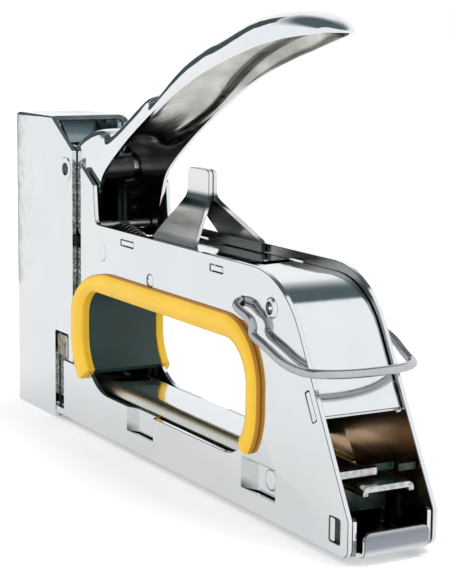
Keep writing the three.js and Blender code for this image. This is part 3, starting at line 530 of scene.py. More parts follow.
class Finish(Nodes):
    """A new material; what is the same all over is set on its shader."""

    def __init__(self, name, metallic=0.0, roughness=0.4, specular=0.5):
        self.material = bpy.data.materials.new(name)
        self.material.use_nodes = True
        super().__init__(self.material.node_tree)
        self.shader = self.tree.nodes["Principled BSDF"]
        self.shader.inputs["Metallic"].default_value = metallic
        self.shader.inputs["Roughness"].default_value = roughness
        self.shader.inputs["Specular IOR Level"].default_value = specular

    def noise(self, scale, detail=3.0, stretch=EVEN):
        """Noise on the piece's own coordinates, in millimetre scale, stretched along its axes."""
        place = self.add("ShaderNodeTexCoord").outputs["Object"]
        spot = self.add("ShaderNodeMapping", {"Vector": place, "Scale": [s / MM for s in stretch]})
        inputs = {"Vector": spot.outputs["Vector"], "Scale": scale, "Detail": detail}
        return self.add("ShaderNodeTexNoise", inputs).outputs["Fac"]

    def along(self, axis, start, end):
        """Nought before one distance along the tool's axis and one past another."""
        lo, hi = (getattr(at(d, d, d), axis) for d in (start, end))
        return self.ranged(self.split("Object")[axis.upper()], 0, 1, lo, hi)

    def gloss(self, smooth, rough, grain=EVEN, scale=0.35):
        return self.ranged(self.noise(scale, 4.0, grain), smooth, rough)

    def done(self, colour, gloss, height, strength, distance=0.05):
        """Links colour, roughness and bump to the shader."""
        inputs = {"Height": height, "Strength": strength, "Distance": distance * MM}
        bump = self.add("ShaderNodeBump", inputs).outputs["Normal"]
        for key, value in (("Base Color", colour), ("Roughness", gloss), ("Normal", bump)):
            self.feed(self.shader, key, value)
        return self.material


def metal(name, first, second, roughness, grain=EVEN, bump=0.02, cloud=0.05, polish=0.03):
    """Metal with a faint cloud in its colour, uneven polish and fine grain; darker where the shade attribute
    paints shade on pressed sheet.
    """
    make = Finish(name, metallic=1.0)
    colour = make.mixed(make.ranged(make.noise(cloud), 0, 1), first, second)
    # Painted shade: the shade attribute mixes the colour towards a dark tone
    painted_shade = make.add("ShaderNodeAttribute", attribute_name="shade").outputs["Fac"]
    gloss = make.gloss(roughness - polish, roughness + polish, grain)
    return make.done(make.mixed(painted_shade, colour, PAINTED_SHADE_TONE), gloss, make.noise(1.6, 3.0, grain), bump)


def two_metals(name, near, far, place, roughness):
    """Metal whose colour changes along the tool, used here for painted brown reflections; place is an axis
    and where the change starts and ends.
    """
    make = Finish(name, metallic=1.0)
    gloss = make.gloss(roughness - 0.02, roughness + 0.06, DRAWN)
    return make.done(make.mixed(make.along(*place), near, far), gloss, make.noise(1.6, 3.0, DRAWN), 0.02)


def toned(name, tones, roughness, bump):
    """Metal whose colour runs through several tones upwards; tones holds heights and colours."""
    make = Finish(name, metallic=1.0)
    first, last = tones[0][0], tones[-1][0]
    scale = make.add("ShaderNodeValToRGB", {"Fac": make.along("z", first, last)})
    stops = scale.color_ramp.elements
    for height, colour in tones:
        share = (height - first) / (last - first)
        stop = stops[0] if share == 0 else stops[-1] if share == 1 else stops.new(share)
        stop.color = (*colour, 1)
    gloss = make.gloss(roughness - 0.03, roughness + 0.05, DRAWN)
    return make.done(scale.outputs["Color"], gloss, make.noise(1.2, 3.0, (1, 1, 0.2)), bump)


def shaded_speckle(name, low, high, roughness, bright):
    """Rough metal with fine light grains, painted dark as shade below a height, bright and smooth above it.
    """
    make = Finish(name, metallic=0.8)
    grains = make.ranged(make.noise(1.3, 2.0), 0, 1, 0.47, 0.7)
    share = make.along("z", bright, bright + 1.5)
    colour = make.mixed(share, make.mixed(grains, low, high), (0.72, 0.75, 0.76))
    return make.done(colour, make.ranged(share, roughness, 0.16, 0, 1), make.noise(1.5, 2.0), 0.25, 0.15)


def plastic(name, colour, roughness, bump, grain):
    """Moulded plastic with a soft sheen and a faint cloud in its colour."""
    make = Finish(name, roughness=roughness, specular=0.4)
    light, dark = [min(1, 1.03 * c) for c in colour], [0.95 * c for c in colour]
    colour = make.mixed(make.ranged(make.noise(0.05), 0, 1), dark, light)
    gloss = make.gloss(roughness - 0.06, roughness + 0.06, EVEN, 0.8)
    return make.done(colour, gloss, make.noise(grain, 2.0), bump, 0.06)


MATERIALS = {}
# Tones from the foot of a piece upwards: height and colour; on the stop they are painted shade and painted
# highlights
STOP_PAINTED_TONES = (
    (61, (0.1, 0.11, 0.11)), (63, (0.12, 0.13, 0.125)), (64.2, (0.66, 0.66, 0.64)),
    (68.6, (0.72, 0.69, 0.65)), (70.3, (0.92, 0.89, 0.85)), (71.6, (0.03, 0.045, 0.045)),
    (74.2, (0.035, 0.055, 0.055)), (75.4, (0.8, 0.81, 0.81)), (82, (0.86, 0.86, 0.86)),
)
# Inside the nose: painted shade, darker towards the bottom
NOSE_SHADE_TONES = (
    (60, (0.03, 0.05, 0.045)), (74, (0.05, 0.07, 0.065)), (81, (0.3, 0.37, 0.39)),
    (91, (0.36, 0.43, 0.45)),
)
LIP_TONES = (
    (-1.5, (0.9, 0.92, 0.94)), (0.9, (0.86, 0.88, 0.9)), (2.4, (0.34, 0.36, 0.4)),
    (5.2, (0.27, 0.295, 0.33)), (6.3, (0.6, 0.62, 0.64)),
)
# Plain metals: two colours, roughness, then grain, bump, cloud and polish where they differ
METALS = {
    "chrome": ("plate chrome", (0.79, 0.82, 0.84), (0.82, 0.84, 0.855), 0.075, EVEN, 0.012),
    "lever chrome": ("lever chrome", (0.82, 0.84, 0.86), (0.86, 0.87, 0.88), 0.05, EVEN, 0.01),
    "cover chrome": ("cover chrome", (0.80, 0.82, 0.835), (0.84, 0.855, 0.865), 0.085, EVEN, 0.01),
    # Painted shade on the eased edges of the sheets and in the grooves of the rivets
    "edge": ("painted shade edges", (0.10, 0.115, 0.115), (0.20, 0.215, 0.215), 0.3, EVEN, 0.1),
    # Painted highlights on the eased edges of the bracket and the key
    "highlight edge": ("painted edge highlights", (0.75, 0.78, 0.80), (0.85, 0.87, 0.88), 0.2, EVEN, 0.05),
    # A darker copy of the lever's chrome for its inside: painted shade, with lengthwise streaks of painted
    # reflection
    "inner": ("lever inside painted shade", (0.44, 0.445, 0.41), (0.74, 0.735, 0.69), 0.17, (0.12, 2, 2), 0.03, 0.09,
              0.05),
    # Painted shade for faces inside the tool
    "shaded inside": ("painted shade inside", (0.025, 0.05, 0.042), (0.085, 0.10, 0.085), 0.3, EVEN, 0.08, 0.3),
    "worn": ("worn chrome", (0.42, 0.43, 0.42), (0.72, 0.73, 0.73), 0.2, (0.6, 2, 2), 0.12, 0.7),
    "panel": ("bracket steel", (0.34, 0.42, 0.44), (0.46, 0.53, 0.55), 0.3, (1, 0.3, 1), 0.05),
    "wire": ("wire steel", (0.46, 0.46, 0.48), (0.56, 0.56, 0.58), 0.24, DRAWN, 0.05),
    "steel": ("steel", (0.42, 0.42, 0.43), (0.56, 0.56, 0.57), 0.3, (0.2, 2, 2), 0.06),
    "dark steel": ("dark steel", (0.08, 0.085, 0.085), (0.16, 0.165, 0.165), 0.34, EVEN, 0.2),
    "brass": ("key steel", (0.14, 0.115, 0.075), (0.38, 0.345, 0.26), 0.3, (2.2, 2.2, 0.1), 0.06, 0.55),
}


def make_materials(sizes):
    MATERIALS.update({key: metal(*values) for key, values in METALS.items()})
    # Brown further back on the magazine and its bends, and low on the plates' inner faces: painted reflection
    brown_reflection_span = ("x", 146, 156)
    # A darker copy of the trim colour for the trims' outer walls: painted shade
    shaded_trim_colour = [c * share for c, share in zip(sizes.trim_colour, (0.62, 0.42, 0.5))]
    MATERIALS.update({
        "stop chrome": toned("stop chrome", STOP_PAINTED_TONES, 0.15, 0.03),
        "nose painted shade": toned("nose painted shade", NOSE_SHADE_TONES, 0.3, 0.06),
        "lip": toned("lip steel", LIP_TONES, 0.2, 0.03),
        "inside": two_metals("plate inside", (0.50, 0.335, 0.20), (0.34, 0.35, 0.335), ("z", 29, 31.5), 0.2),
        "magazine": two_metals("magazine steel", (0.80, 0.81, 0.82), (0.52, 0.36, 0.23), brown_reflection_span, 0.09),
        "satin": two_metals("magazine bend", (0.62, 0.61, 0.56), (0.48, 0.35, 0.23), brown_reflection_span, 0.25),
        "shaded_speckle": shaded_speckle("rough steel painted shade", (0.085, 0.1, 0.095), (0.72, 0.76, 0.74), 0.42, 86),
        "yellow": plastic("yellow trim", sizes.trim_colour, 0.36, 0.015, 1.4),
        "shaded yellow": plastic("trim wall painted shade", shaded_trim_colour, 0.5, 0.02, 1.4),
        "slate": plastic("slate liner", sizes.liner_colour, 0.42, 0.06, 1.0),
        "rubber": plastic("bumper rubber", (0.02, 0.02, 0.019), 0.7, 0.3, 0.6),
    })


def finished(name, mesh, finish, body, replaces=(), angle=SMOOTH_ANGLE):
    """Adds a piece with its material to the tool."""
    # A single finish gets edge as its second, which paints shade on the eased edges
    finishes = [finish, "edge"] if isinstance(finish, str) else finish
    kinds = [face.material_index for face in mesh.polygons]
    mesh.materials.clear()
    for each in finishes[:max(kinds) + 1]:
        mesh.materials.append(MATERIALS[each])
    mesh.polygons.foreach_set("material_index", kinds)
    mesh.polygons.foreach_set("use_smooth", [True] * len(kinds))
    mesh.set_sharp_from_angle(angle=angle)
    mesh.update()
    mesh.name = name
    obj = linked(name, mesh)
    if body:
        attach(obj, body)
    if replaces:
        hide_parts(*replaces)
    return obj


# Side plates

DOWN = (Vector((PLATE["rear"], HEEL[0])) - Vector((SLOPE_TOP[0], BEAM_TOP))).normalized()
INWARD = Vector((DOWN.y, -DOWN.x))


def slope_place(z):
    return SLOPE_TOP[0] + (BEAM_TOP - z) * DOWN.x / -DOWN.y


def plate_outline():
    p = PLATE
    return rounded([
        (p["front"], 0), (p["rear"], 0, HEEL[1]), (p["rear"], HEEL[0], HEEL[1]),
        (SLOPE_TOP[0], BEAM_TOP, SLOPE_TOP[1]), (59.6, BEAM_TOP, HEEL[1]), (58.3, 72.9, BEND), SLANT[1],
        (p["post"], slant_height(p["post"]), BEND), (p["post"], p["shelf"]), (p["step"], p["shelf"]),
        (p["step"], p["tongue"]), (p["front"], p["tongue"]),
    ])


def hole_outline():
    corners = [(HOLE[x], HOLE[z]) for x, z in (("x0", "z0"), ("x1", "z0"), ("x1", "z1"), ("x0", "z1"))]
    return rounded([(*corner, radius) for corner, radius in zip(corners, HOLE_RADII.values())])


def slope_tab_outline(grow):
    tab = SLOPE_TAB
    start = Vector((slope_place(tab["top"]), tab["top"])) + INWARD * tab["inset"]
    along, across = (-grow, tab["length"] + grow), (-grow, tab["depth"] + grow)
    spots = [start + DOWN * along[i] + INWARD * across[j] for i, j in ((0, 0), (0, 1), (1, 1), (1, 0))]
    return rounded([(*spot, 0.4 if grow else 0.2) for spot in spots])


def cover_tab_outline(ends, grow):
    bottom, top = COVER["top"] - COVER["sheet"] - grow, COVER["top"] + grow
    return box2(ends[0] - grow, ends[1] + grow, bottom, top, 0.3)


def ramp(share, crease=0.14):
    """A straight rise from nought to one whose two ends are rounded off."""
    share = max(0.0, min(1.0, share))
    slope = 1 / (1 - crease)
    if share < crease:
        return slope * share * share / (2 * crease)
    if share > 1 - crease:
        return 1 - slope * (1 - share) ** 2 / (2 * crease)
    return slope * (share - crease / 2)


def distance(ring, x, z):
    """Distance from the middle of a round mark."""
    return math.hypot(x - ring["x"], z - ring["z"])


def pocket_depth(pocket, x, z):
    """How far a pressed pocket lies under the plate's face."""
    into = ramp((x - pocket["x0"]) / pocket["ramp"])
    back = ramp((pocket["x1"] - x) / POCKET_STEP, 0.3)
    top = 1 if pocket["open_top"] else ramp((pocket["z1"] - z) / POCKET_STEP, 0.3)
    depth = POCKET_DEPTH * min(into, back) * top
    mark = pocket["mark"]
    if mark:
        depth -= mark["height"] * smooth_step((1.08 - distance(mark, x, z) / mark["radius"]) / 0.22)
    return max(depth, 0)


def pocket_shade(pocket, x, z):
    """Painted shade on the pressed sheet: most at the foot of the ramp and on the steps, and on the ring of
    the press mark.
    """
    share = (x - pocket["x0"]) / pocket["ramp"]
    if 0 < share < 1:
        low = smooth_step((pocket["z0"] + 3.2 - z) / 3)
        return smooth_step(min(share, 1 - share) / 0.1) * (0.26 + 0.7 * low * (1.15 - share))
    if x > pocket["x1"] - POCKET_STEP:
        return 0.75
    if z > pocket["z1"] - POCKET_STEP and not pocket["open_top"]:
        return 0.5
    mark, foot = pocket["mark"], 0.6 if z < pocket["z0"] + 0.8 else 0.0
    if not mark:
        return foot
    return max(foot, 0.7 * smooth_step(1 - abs(distance(mark, x, z) / mark["radius"] - 1) / 0.16))


def disc_depth(x, z):
    away = distance(STAMPED_DISC, x, z)
    return STAMPED_DISC["height"] * smooth_step((STAMPED_DISC["radius"] - away) / 0.3)


def disc_shade(x, z):
    """Painted shade on the rear half of the stamped ring."""
    away = distance(STAMPED_DISC, x, z)
    ring = smooth_step(1.2 - abs(away - STAMPED_DISC["radius"] + 0.15) / 0.34)
    return ring * smooth_step((x - STAMPED_DISC["x"] - 0.4) / 1.1)


def spread(lo, hi, count, dense=()):
    """Grid lines from lo to hi, denser near the given places."""
    return sorted({round(lo + (hi - lo) * i / count, 4) for i in range(count + 1)}
                  | {round(m, 4) for m in dense if lo < m < hi})


def pocket_lines(pocket):
    """Places along x and z where a pocket's grid has its lines."""
    steps = [pocket["x1"] - POCKET_STEP * i / 8 for i in range(9)]
    steps += [pocket["x0"] + pocket["ramp"] * i / 20 for i in range(21)]
    xs = spread(pocket["x0"], pocket["x1"], 40, steps)
    top = HOLE["z0"] - EDGE if pocket["open_top"] else pocket["z1"]
    return xs, spread(pocket["z0"], top, 22, [pocket["z1"] - POCKET_STEP * i / 8 for i in range(9)])


def pressed_patches():
    """Windows of the plate that are filled with pressed sheet: grid lines, depth, painted shade, open foot.
    """
    patches = [(*pocket_lines(pocket), partial(pocket_depth, pocket), partial(pocket_shade, pocket), True)
               for pocket in POCKETS]
    reach = STAMPED_DISC["radius"] + 0.3
    lines = [spread(STAMPED_DISC[a] - reach, STAMPED_DISC[a] + reach, 60) for a in ("x", "z")]
    return [*patches, (*lines, disc_depth, disc_shade, False)]


def window_loop(xs, zs):
    """The border of a patch's grid, counter-clockwise from its lowest corner."""
    return ([Vector((x, zs[0])) for x in xs[:-1]] + [Vector((xs[-1], z)) for z in zs[:-1]]
            + [Vector((x, zs[-1])) for x in xs[:0:-1]] + [Vector((xs[0], z)) for z in zs[:0:-1]])


def cap_triangles(outer, holes):
    """Triangles of the area inside one loop and outside others, as indices into all their points."""
    points, edges = [], []
    for loop in (outer, *holes):
        start = len(points)
        points += loop
        edges += [(start + i, start + (i + 1) % len(loop)) for i in range(len(loop))]
    spots, _, faces, origins, _, _ = delaunay_2d_cdt(points, edges, [], 0, 1e-5)
    chosen = []
    for face in faces:
        middle = sum((spots[i] for i in face), Vector((0, 0))) / len(face)
        if inside2(middle, outer) and not any(inside2(middle, hole) for hole in holes):
            chosen.append([min(origins[i]) for i in face])
    return points, chosen


def hole_with_press():
    """The hand hole's outline, with points where the open pocket bends its lower edge."""
    loop = hole_outline()
    xs = [x for pocket in POCKETS if pocket["open_top"] for x in pocket_lines(pocket)[0]]
    for i, point in enumerate(loop):
        after = loop[(i + 1) % len(loop)]
        if abs(point.y - HOLE["z0"]) < 1e-4 and abs(after.y - HOLE["z0"]) < 1e-4 and after.x - point.x > 40:
            return loop[:i + 1] + [Vector((x, HOLE["z0"])) for x in xs] + loop[i + 1:]
    raise RuntimeError("The hand hole has no straight lower edge")


def rim_depth(x, z):
    """How far the hand hole's lower edge is pressed in where a pocket runs into it."""
    for pocket in POCKETS:
        near = HOLE["z0"] - 2 * EDGE < z < HOLE["z0"] + EDGE
        if pocket["open_top"] and near and pocket["x0"] < x < pocket["x1"]:
            return pocket_depth(pocket, x, z)
    return 0.0


class SheetBuilder:
    """Collects the faces of a pressed sheet: face (0), broken edge (1) and back (2)."""

    def __init__(self, side):
        self.side = side
        self.verts, self.shades, self.faces, self.kinds = [], [], [], []

    def add(self, point, depth, shade=0.0):
        x, z = point
        self.verts.append(at(x, self.side * (PLATE_OUT - depth - rim_depth(x, z)), z))
        self.shades.append(shade)
        return len(self.verts) - 1

    def face(self, corners, kind):
        self.faces.append(tuple(corners))
        self.kinds.append(kind)

    def strip(self, upper, lower, kind, closed=True):
        count = len(upper)
        for i in range(count if closed else count - 1):
            k = (i + 1) % count
            self.face((upper[i], upper[k], lower[k], lower[i]), kind)

    def mesh(self):
        mesh = mesh_from("sheet", self.verts, self.faces)
        mesh.polygons.foreach_set("material_index", self.kinds)
        # The shade attribute holds the painted shade for the metal
        mesh.attributes.new("shade", "FLOAT", "POINT").data.foreach_set("value", self.shades)
        return cleaned(mesh, 1e-7)


def plate_mesh(side):
    x0, x1, z0, z1 = HEEL_TAB
    heel = box2(x0 - FIT, x1 + FIT, z0 - FIT, z1 + FIT, 0.5)
    cuts = [
        (plate_outline(), EDGE, EDGE), (hole_with_press(), EDGE, EDGE),
        (circle2(*ANCHOR[:2], ANCHOR[2] + 0.1), EDGE, EDGE),
        (circle2(*CROSS_PIN[:2], CROSS_PIN[2] + 0.12), EDGE, EDGE),
        (circle2(*BAIL_HOLE), 0.9, 0.3), (heel, 0.2, 0.2), (slope_tab_outline(FIT), EDGE, EDGE),
        *[(cover_tab_outline(tab, FIT), EDGE, EDGE) for tab in COVER_TABS],
    ]
    cuts = [(loop if area2(loop) > 0 else loop[::-1], inset, sink) for loop, inset, sink in cuts]
    signs = [1] + [-1] * (len(cuts) - 1)
    outer_loops = [shifted(loop, sign * inset, True) for (loop, inset, _), sign in zip(cuts, signs)]
    inner_loops = [shifted(loop, sign * EDGE, True) for (loop, _, _), sign in zip(cuts, signs)]
    patches = pressed_patches()
    windows = [window_loop(patch[0], patch[1]) for patch in patches]
    points, triangles = cap_triangles(outer_loops[0], outer_loops[1:] + windows)
    sheet = SheetBuilder(side)
    outer = [sheet.add(p, 0) for p in points]
    inner = [sheet.add(p, SHEET) for loop in inner_loops + windows for p in loop]
    for triangle in triangles:
        sheet.face([outer[i] for i in triangle], 0)
        sheet.face([inner[i] for i in reversed(triangle)], 2)
    start = 0
    for loop, _, sink in cuts:
        end = start + len(loop)
        rows = [outer[start:end], [sheet.add(p, sink) for p in loop],
                [sheet.add(p, SHEET - EDGE) for p in loop], inner[start:end]]
        rim = 0 if sink > 2 * EDGE else 1
        for kind, upper, lower in zip((rim, 0, 1), rows, rows[1:]):
            sheet.strip(upper, lower, kind)
        start = end
    for patch, loop in zip(patches, windows):
        add_patch(sheet, patch, loop, outer[start:start + len(loop)], inner[start:start + len(loop)])
        start += len(loop)
    return sheet.mesh()


def add_patch(sheet, patch, loop, *borders):
    """Fills one window of the plate with its pressed surface, front and back."""
    xs, zs, depth, shade, open_foot = patch
    key = {(round(p.x, 4), round(p.y, 4)): i for i, p in enumerate(loop)}
    grids = []
    for border, under, kind in zip(borders, (0, SHEET), (0, 2)):
        grid = []
        for z in zs:
            row = []
            for x in xs:
                spot = key.get((round(x, 4), round(z, 4)))
                foot = open_foot and z == zs[0] and xs[0] < x < xs[-1]
                rim = rim_depth(x, z)
                if spot is not None and not foot and not rim:
                    row.append(border[spot])
                else:
                    deep = depth(x, z)
                    lift = POCKET_GAP * min(1, deep / POCKET_DEPTH) if foot else 0
                    row.append(sheet.add((x, z + lift), (0 if rim else deep) + under, shade(x, z)))
            grid.append(row)
        grids.append(grid)
        for lower, upper in zip(grid, grid[1:]):
            sheet.strip(lower, upper, kind, closed=False)
    if open_foot:
        ledge = [[border[key[(round(x, 4), round(zs[0], 4))]] for x in xs] for border in borders]
        sheet.strip(*ledge, 0, closed=False)
        sheet.strip(grids[0][0], grids[1][0], 0, closed=False)


# Cap, cover and stop

def cap_mesh():
    """One folded sheet: front wall, two sides and a roof."""
    plan, hollow = (rounded([(front, -half, radius), (rear, -half), (rear, half), (front, half, radius)])
                    for front, rear, half, radius in ((0, CAP["rear"] + 4, PLATE_OUT, FOLD),
                                                      (SHEET, CAP["rear"] + 8, PLATE_IN, 0.4)))
    profile = rounded([
        (-4, -NOSE_DROP), (CAP["foot"], -NOSE_DROP), (CAP["foot"], CAP["key_top"], BEND),
        (CAP["key_rear"], CAP["key_top"], BEND), (CAP["key_rear"], CAP["seam"]), (CAP["rear"], CAP["seam"]),
        (CAP["rear"], slant_height(CAP["rear"]), BEND), (SLANT[0][0], NOSE_TOP + 0.01, BEND),
        (-4, NOSE_TOP + 2),
    ])
    body = round_top(prism(plan, -NOSE_DROP, NOSE_TOP, "z"), NOSE_TOP, 1.1)
    body = combined(body, prism(profile, -20, 20), operation="INTERSECT")
    body = combined(
        body, prism(hollow, -8, NOSE_TOP - SHEET, "z"),
        block(CAP["roof_rear"], 60, -PLATE_IN, PLATE_IN, NOSE_TOP - 4, NOSE_TOP + 4),
        prism(circle2(*PIVOT[:2], PIVOT[2] + 0.15), -20, 20),
    )
    # The roof's cut rear edge takes the edge finish, painted shade
    high = (NOSE_TOP - SHEET - 0.5 + NOSE_DROP) * MM
    return painted(eased(cleaned(body)), 1, lambda face: face.normal.x > 0.9 and face.center.z > high)


def round_top(mesh, z, radius):
    """Rounds the upper rim of a prism."""
    work = bmesh.new()
    work.from_mesh(mesh)
    top = (z + NOSE_DROP) * MM
    rim = [e for e in work.edges if all(abs(v.co.z - top) < 1e-6 for v in e.verts)]
    bmesh.ops.bevel(work, geom=rim, offset=radius * MM, segments=5, profile=0.5, affect="EDGES")
    work.to_mesh(mesh)
    work.free()
    return mesh


def cover_mesh():
    top, radius = COVER["top"], SLOPE_TOP[1] - (BEAM_TOP - COVER["top"])
    rear, foot = (slope_place(z) + COVER["inset"] * INWARD.x / -DOWN.y for z in (top, COVER["bottom"]))
    line = bent([(COVER["front"], top), (rear, top, radius), (foot, COVER["bottom"])])
    half = PLATE_OUT - 0.15
    tabs = [cover_tab_outline(tab, 0) for tab in COVER_TABS] + [slope_tab_outline(0)]
    return merged(cut_sheet([folded(line, COVER["sheet"])], -NEST, NEST),
                  *[cut_sheet([tab], -half, half, edge=0.08) for tab in tabs])


def fine_line(line, step):
    """The line with points no farther apart than a step."""
    fine = []
    for a, b in zip(line, line[1:]):
        steps = max(1, math.ceil((b - a).length / step))
        fine += [a.lerp(b, i / steps) for i in range(steps)]
    return fine + [line[-1]]


def corner_nip(z, top, radius):
    """How much a sheet with round upper corners is narrower at a height."""
    return radius - math.sqrt(max(0.0, radius ** 2 - max(0.0, z - (top - radius)) ** 2))


def stop_width(z):
    """Front and rear edge of the stop's sheet at a height."""
    if z >= STOP["neck"]:
        nip = corner_nip(z, STOP["top"], 1.6)
        return STOP["front"] + nip, STOP["rear"] - nip
    share = (STOP["neck"] - max(z, STOP["shoulder"])) / (STOP["neck"] - STOP["shoulder"])
    return (STOP["front"] + (STOP_FOOT["front"] - STOP["front"]) * smooth_step(share),
            STOP["rear"] + (STOP_FOOT["rear"] - STOP["rear"]) * share)


def stop_leaf(side):
    """One half of the stop: a sheet bent from its foot up to the doubled tongue."""
    line = bent([(NEST, STOP_FOOT["bottom"]), (NEST, STOP["shoulder"], 1.5),
                 (SHEET + 0.05, STOP["neck"], 5), (SHEET + 0.05, STOP["top"])])
    rows = []
    for p in fine_line(line, 0.6):
        x0, x1 = stop_width(p.y)
        rows.append([(x0 + (x1 - x0) * i / 6, side * p.x, p.y) for i in range(7)])
    return leaf(rows, -SHEET * side)


# Lever

def line_height(line, x):
    """Height of a line of points at a distance from the nose."""
    for (x0, z0), (x1, z1) in zip(line, line[1:]):
        if x <= x1:
            return z0 + (z1 - z0) * max(0.0, (x - x0) / (x1 - x0))
    return line[-1][1]


def smooth_height(line, x, reach):
    """The same, with the corners of the line taken off over a reach on either side."""
    lo, hi = line[0][0], line[-1][0]
    reach = min(reach, x - lo, hi - x)
    weights = [(k, 1 + math.cos(math.pi * k / 6)) for k in range(-5, 6)]
    total = sum(w * line_height(line, x + reach * k / 5) for k, w in weights)
    return total / sum(w for _, w in weights)


def lever_stations(first, last, line, reach):
    """Distance from the nose, top and lower edge of the lever, from its front to its tip."""
    stations = []
    for i in range(LEVER_STEPS + 1):
        share = i / LEVER_STEPS
        x = first + (last - first) * (share + 0.35 * share * (1 - share))
        stations.append((x, smooth_height(line, x, reach), smooth_height(LEVER_EDGE, x, 1.6)))
    return stations


def lever_half(share, inset):
    past = max(0.0, (share - LEVER_TAPER) / (1 - LEVER_TAPER))
    return max(LEVER_HALF * math.sqrt(max(0.0, 1 - past * past)) - inset, LEVER_SHEET / 2)


def lever_ring(station, inset, below):
    x, crown, low = station
    half = lever_half((x - PIVOT[0]) / REACH, inset)
    top = max(crown - inset, low + inset / 2)
    low = low - below
    arch = min(ARCH, top - low)
    power = 4.4 - 1.9 * smooth_step((x - 62) / 45)
    angles = [math.pi / 2 * i / 14 for i in range(15)]
    right = [(half * math.cos(t) ** (2 / power), top - arch * (1 - math.sin(t) ** (2 / power)))
             for t in angles]
    ring = [(half, low), *right, *[(-y, z) for y, z in right[-2::-1]], (-half, low)]
    return [at(x, y, z) for y, z in ring]


def lever_mesh():
    front, tip = PIVOT[0] + 0.5, PIVOT[0] + REACH
    outside = loft([lever_ring(s, 0, 0) for s in lever_stations(front, tip, LEVER_CROWN, CROWN_REACH)])
    inner = lever_stations(front, tip - 2.2, LEVER_CEILING, CEILING_REACH)
    overrun = (inner[0][0] - 1.5, *inner[0][1:])
    inside = loft([lever_ring(s, LEVER_SHEET, 2) for s in [overrun, *inner]])
    # The inside takes the third finish: painted shade
    for mesh, index in ((outside, 0), (inside, 2)):
        for finish in LEVER_FINISHES:
            mesh.materials.append(MATERIALS[finish])
        painted(mesh, index)
    hub = circle2(*PIVOT[:2], HUB_RADIUS)
    hubs = [prism(hub, y0 + 0.001, y1 - 0.001)
            for y0, y1 in (wall(side, LEVER_HALF, LEVER_HALF - LEVER_SHEET) for side in SIDES.values())]
    shell = combined(combined(outside, inside), *hubs, operation="UNION")
    shell = combined(shell, prism(circle2(*PIVOT[:2], PIVOT[2] + 0.2), -20, 20))
    limit = at(CHEEK[0], 0, CHEEK[1])

    # The cheeks behind the nose take the fourth finish, dark below a height: painted shade
    def on_cheek(face):
        behind = face.center.x < limit.x and face.center.z < limit.z
        outer = abs(face.center.y) > (LEVER_HALF - 0.4) * MM
        return behind and outer and abs(face.normal.y) > 0.9 and face.material_index == 0

    return painted(eased(cleaned(shell), 0.12), 3, on_cheek)


# Grip

def grip_places():
    """Stations round the grip: hole corner, its radius, angle, reach of the rim and its centre."""
    x0, x1, z0, z1 = HOLE["x0"], HOLE["x1"], HOLE["z0"], HOLE["z1"]
    low_front, low_rear, top_rear, top_front = HOLE_RADII.values()
    front, top, rear = TRIM_RIM["front"], TRIM_RIM["top"], TRIM_RIM["rear"]
    length, height = TRIM_RIM["corner"]

    def foot(radius):
        return math.asin((GRIP_FOOT - 1.5 - z0 - radius) / (radius + TRIM["width"]))

    corners = [
        ((x0 + low_front, z0 + low_front), low_front, (math.pi - foot(low_front), math.pi),
         (low_front + front,) * 2, None, 12),
        ((x0 + top_front, z1 - top_front), top_front, (math.pi, math.pi / 2), (length, height),
         (x0 - front + length, z1 + top - height), 22),
        ((x1 - top_rear, z1 - top_rear), top_rear, (math.pi / 2, 0), (top_rear + rear, top_rear + top),
         None, 18),
        ((x1 - low_rear, z0 + low_rear), low_rear, (0, foot(low_rear)), (low_rear + rear,) * 2, None, 12),
    ]
    return [(Vector(centre), radius, start + (end - start) * i / steps, Vector(reach), Vector(rim or centre))
            for centre, radius, (start, end), reach, rim, steps in corners for i in range(steps + 1)]


def grip_point(place, out):
    centre, radius, angle, reach, rim = place
    ray = Vector((math.cos(angle), math.sin(angle)))
    edge = centre + ray * (radius + min(out, 0))
    outer = rim + Vector((reach.x * ray.x, reach.y * ray.y))
    return edge.lerp(outer, max(out, 0) / TRIM["width"])


def along_grip(section, finishes, rim=None):
    """Runs a section round the grip; the faces from a distance outwards take the second finish."""
    rings = []
    for place in grip_places():
        spots = [(grip_point(place, out), y) for out, y in section]
        rings.append([at(p.x, y, p.y) for p, y in spots])
    mesh = loft(rings)
    for finish in finishes:
        mesh.materials.append(MATERIALS[finish])
    if rim is not None:
        count = len(section)
        ends = [section[i][0] > rim and section[(i + 1) % count][0] > rim for i in range(count)]
        for i, face in enumerate(mesh.polygons[:(len(rings) - 1) * count]):
            face.material_index = int(ends[i % count])
    return combined(mesh, block(0, LENGTH, -20, 20, -10, GRIP_FOOT))


def trim_section(side):
    face = PLATE_OUT + 0.1
    width, lip, top = TRIM["width"], TRIM["lip"], PLATE_OUT + FIT + TRIM["crown"]
    corners = [
        (-lip, PLATE_IN, 0.25), (-0.15, PLATE_IN), (-0.15, face), (width, face, 0.2),
        (width, face + 1.0, 0.7), (width - 1.3, top, 1.4), (1.2, top, 1.8), (-lip, face + 1.0, 0.9),
    ]
    return [Vector((p.x, side * p.y)) for p in rounded(corners)]


# Magazine and base

def arch(half, bottom, top, radius, sheet):
    """Edge view of a sheet bent down at both sides."""
    return folded(bent([(-half, bottom), (-half, top, radius), (half, top, radius), (half, bottom)]), sheet)


def housing_mesh():
    h = HOUSING
    mesh = cut_sheet([arch(h["half"], h["bottom"], h["top"], h["radius"], h["sheet"])],
                     h["front"], h["rear"], "x")
    # The housing's upright sides take painted shade; its bends take the satin finish
    for face in mesh.polygons:
        if face.material_index == 0 and abs(face.normal.y) > 0.12:
            face.material_index = 2 if abs(face.normal.y) > 0.95 else 3
    return mesh


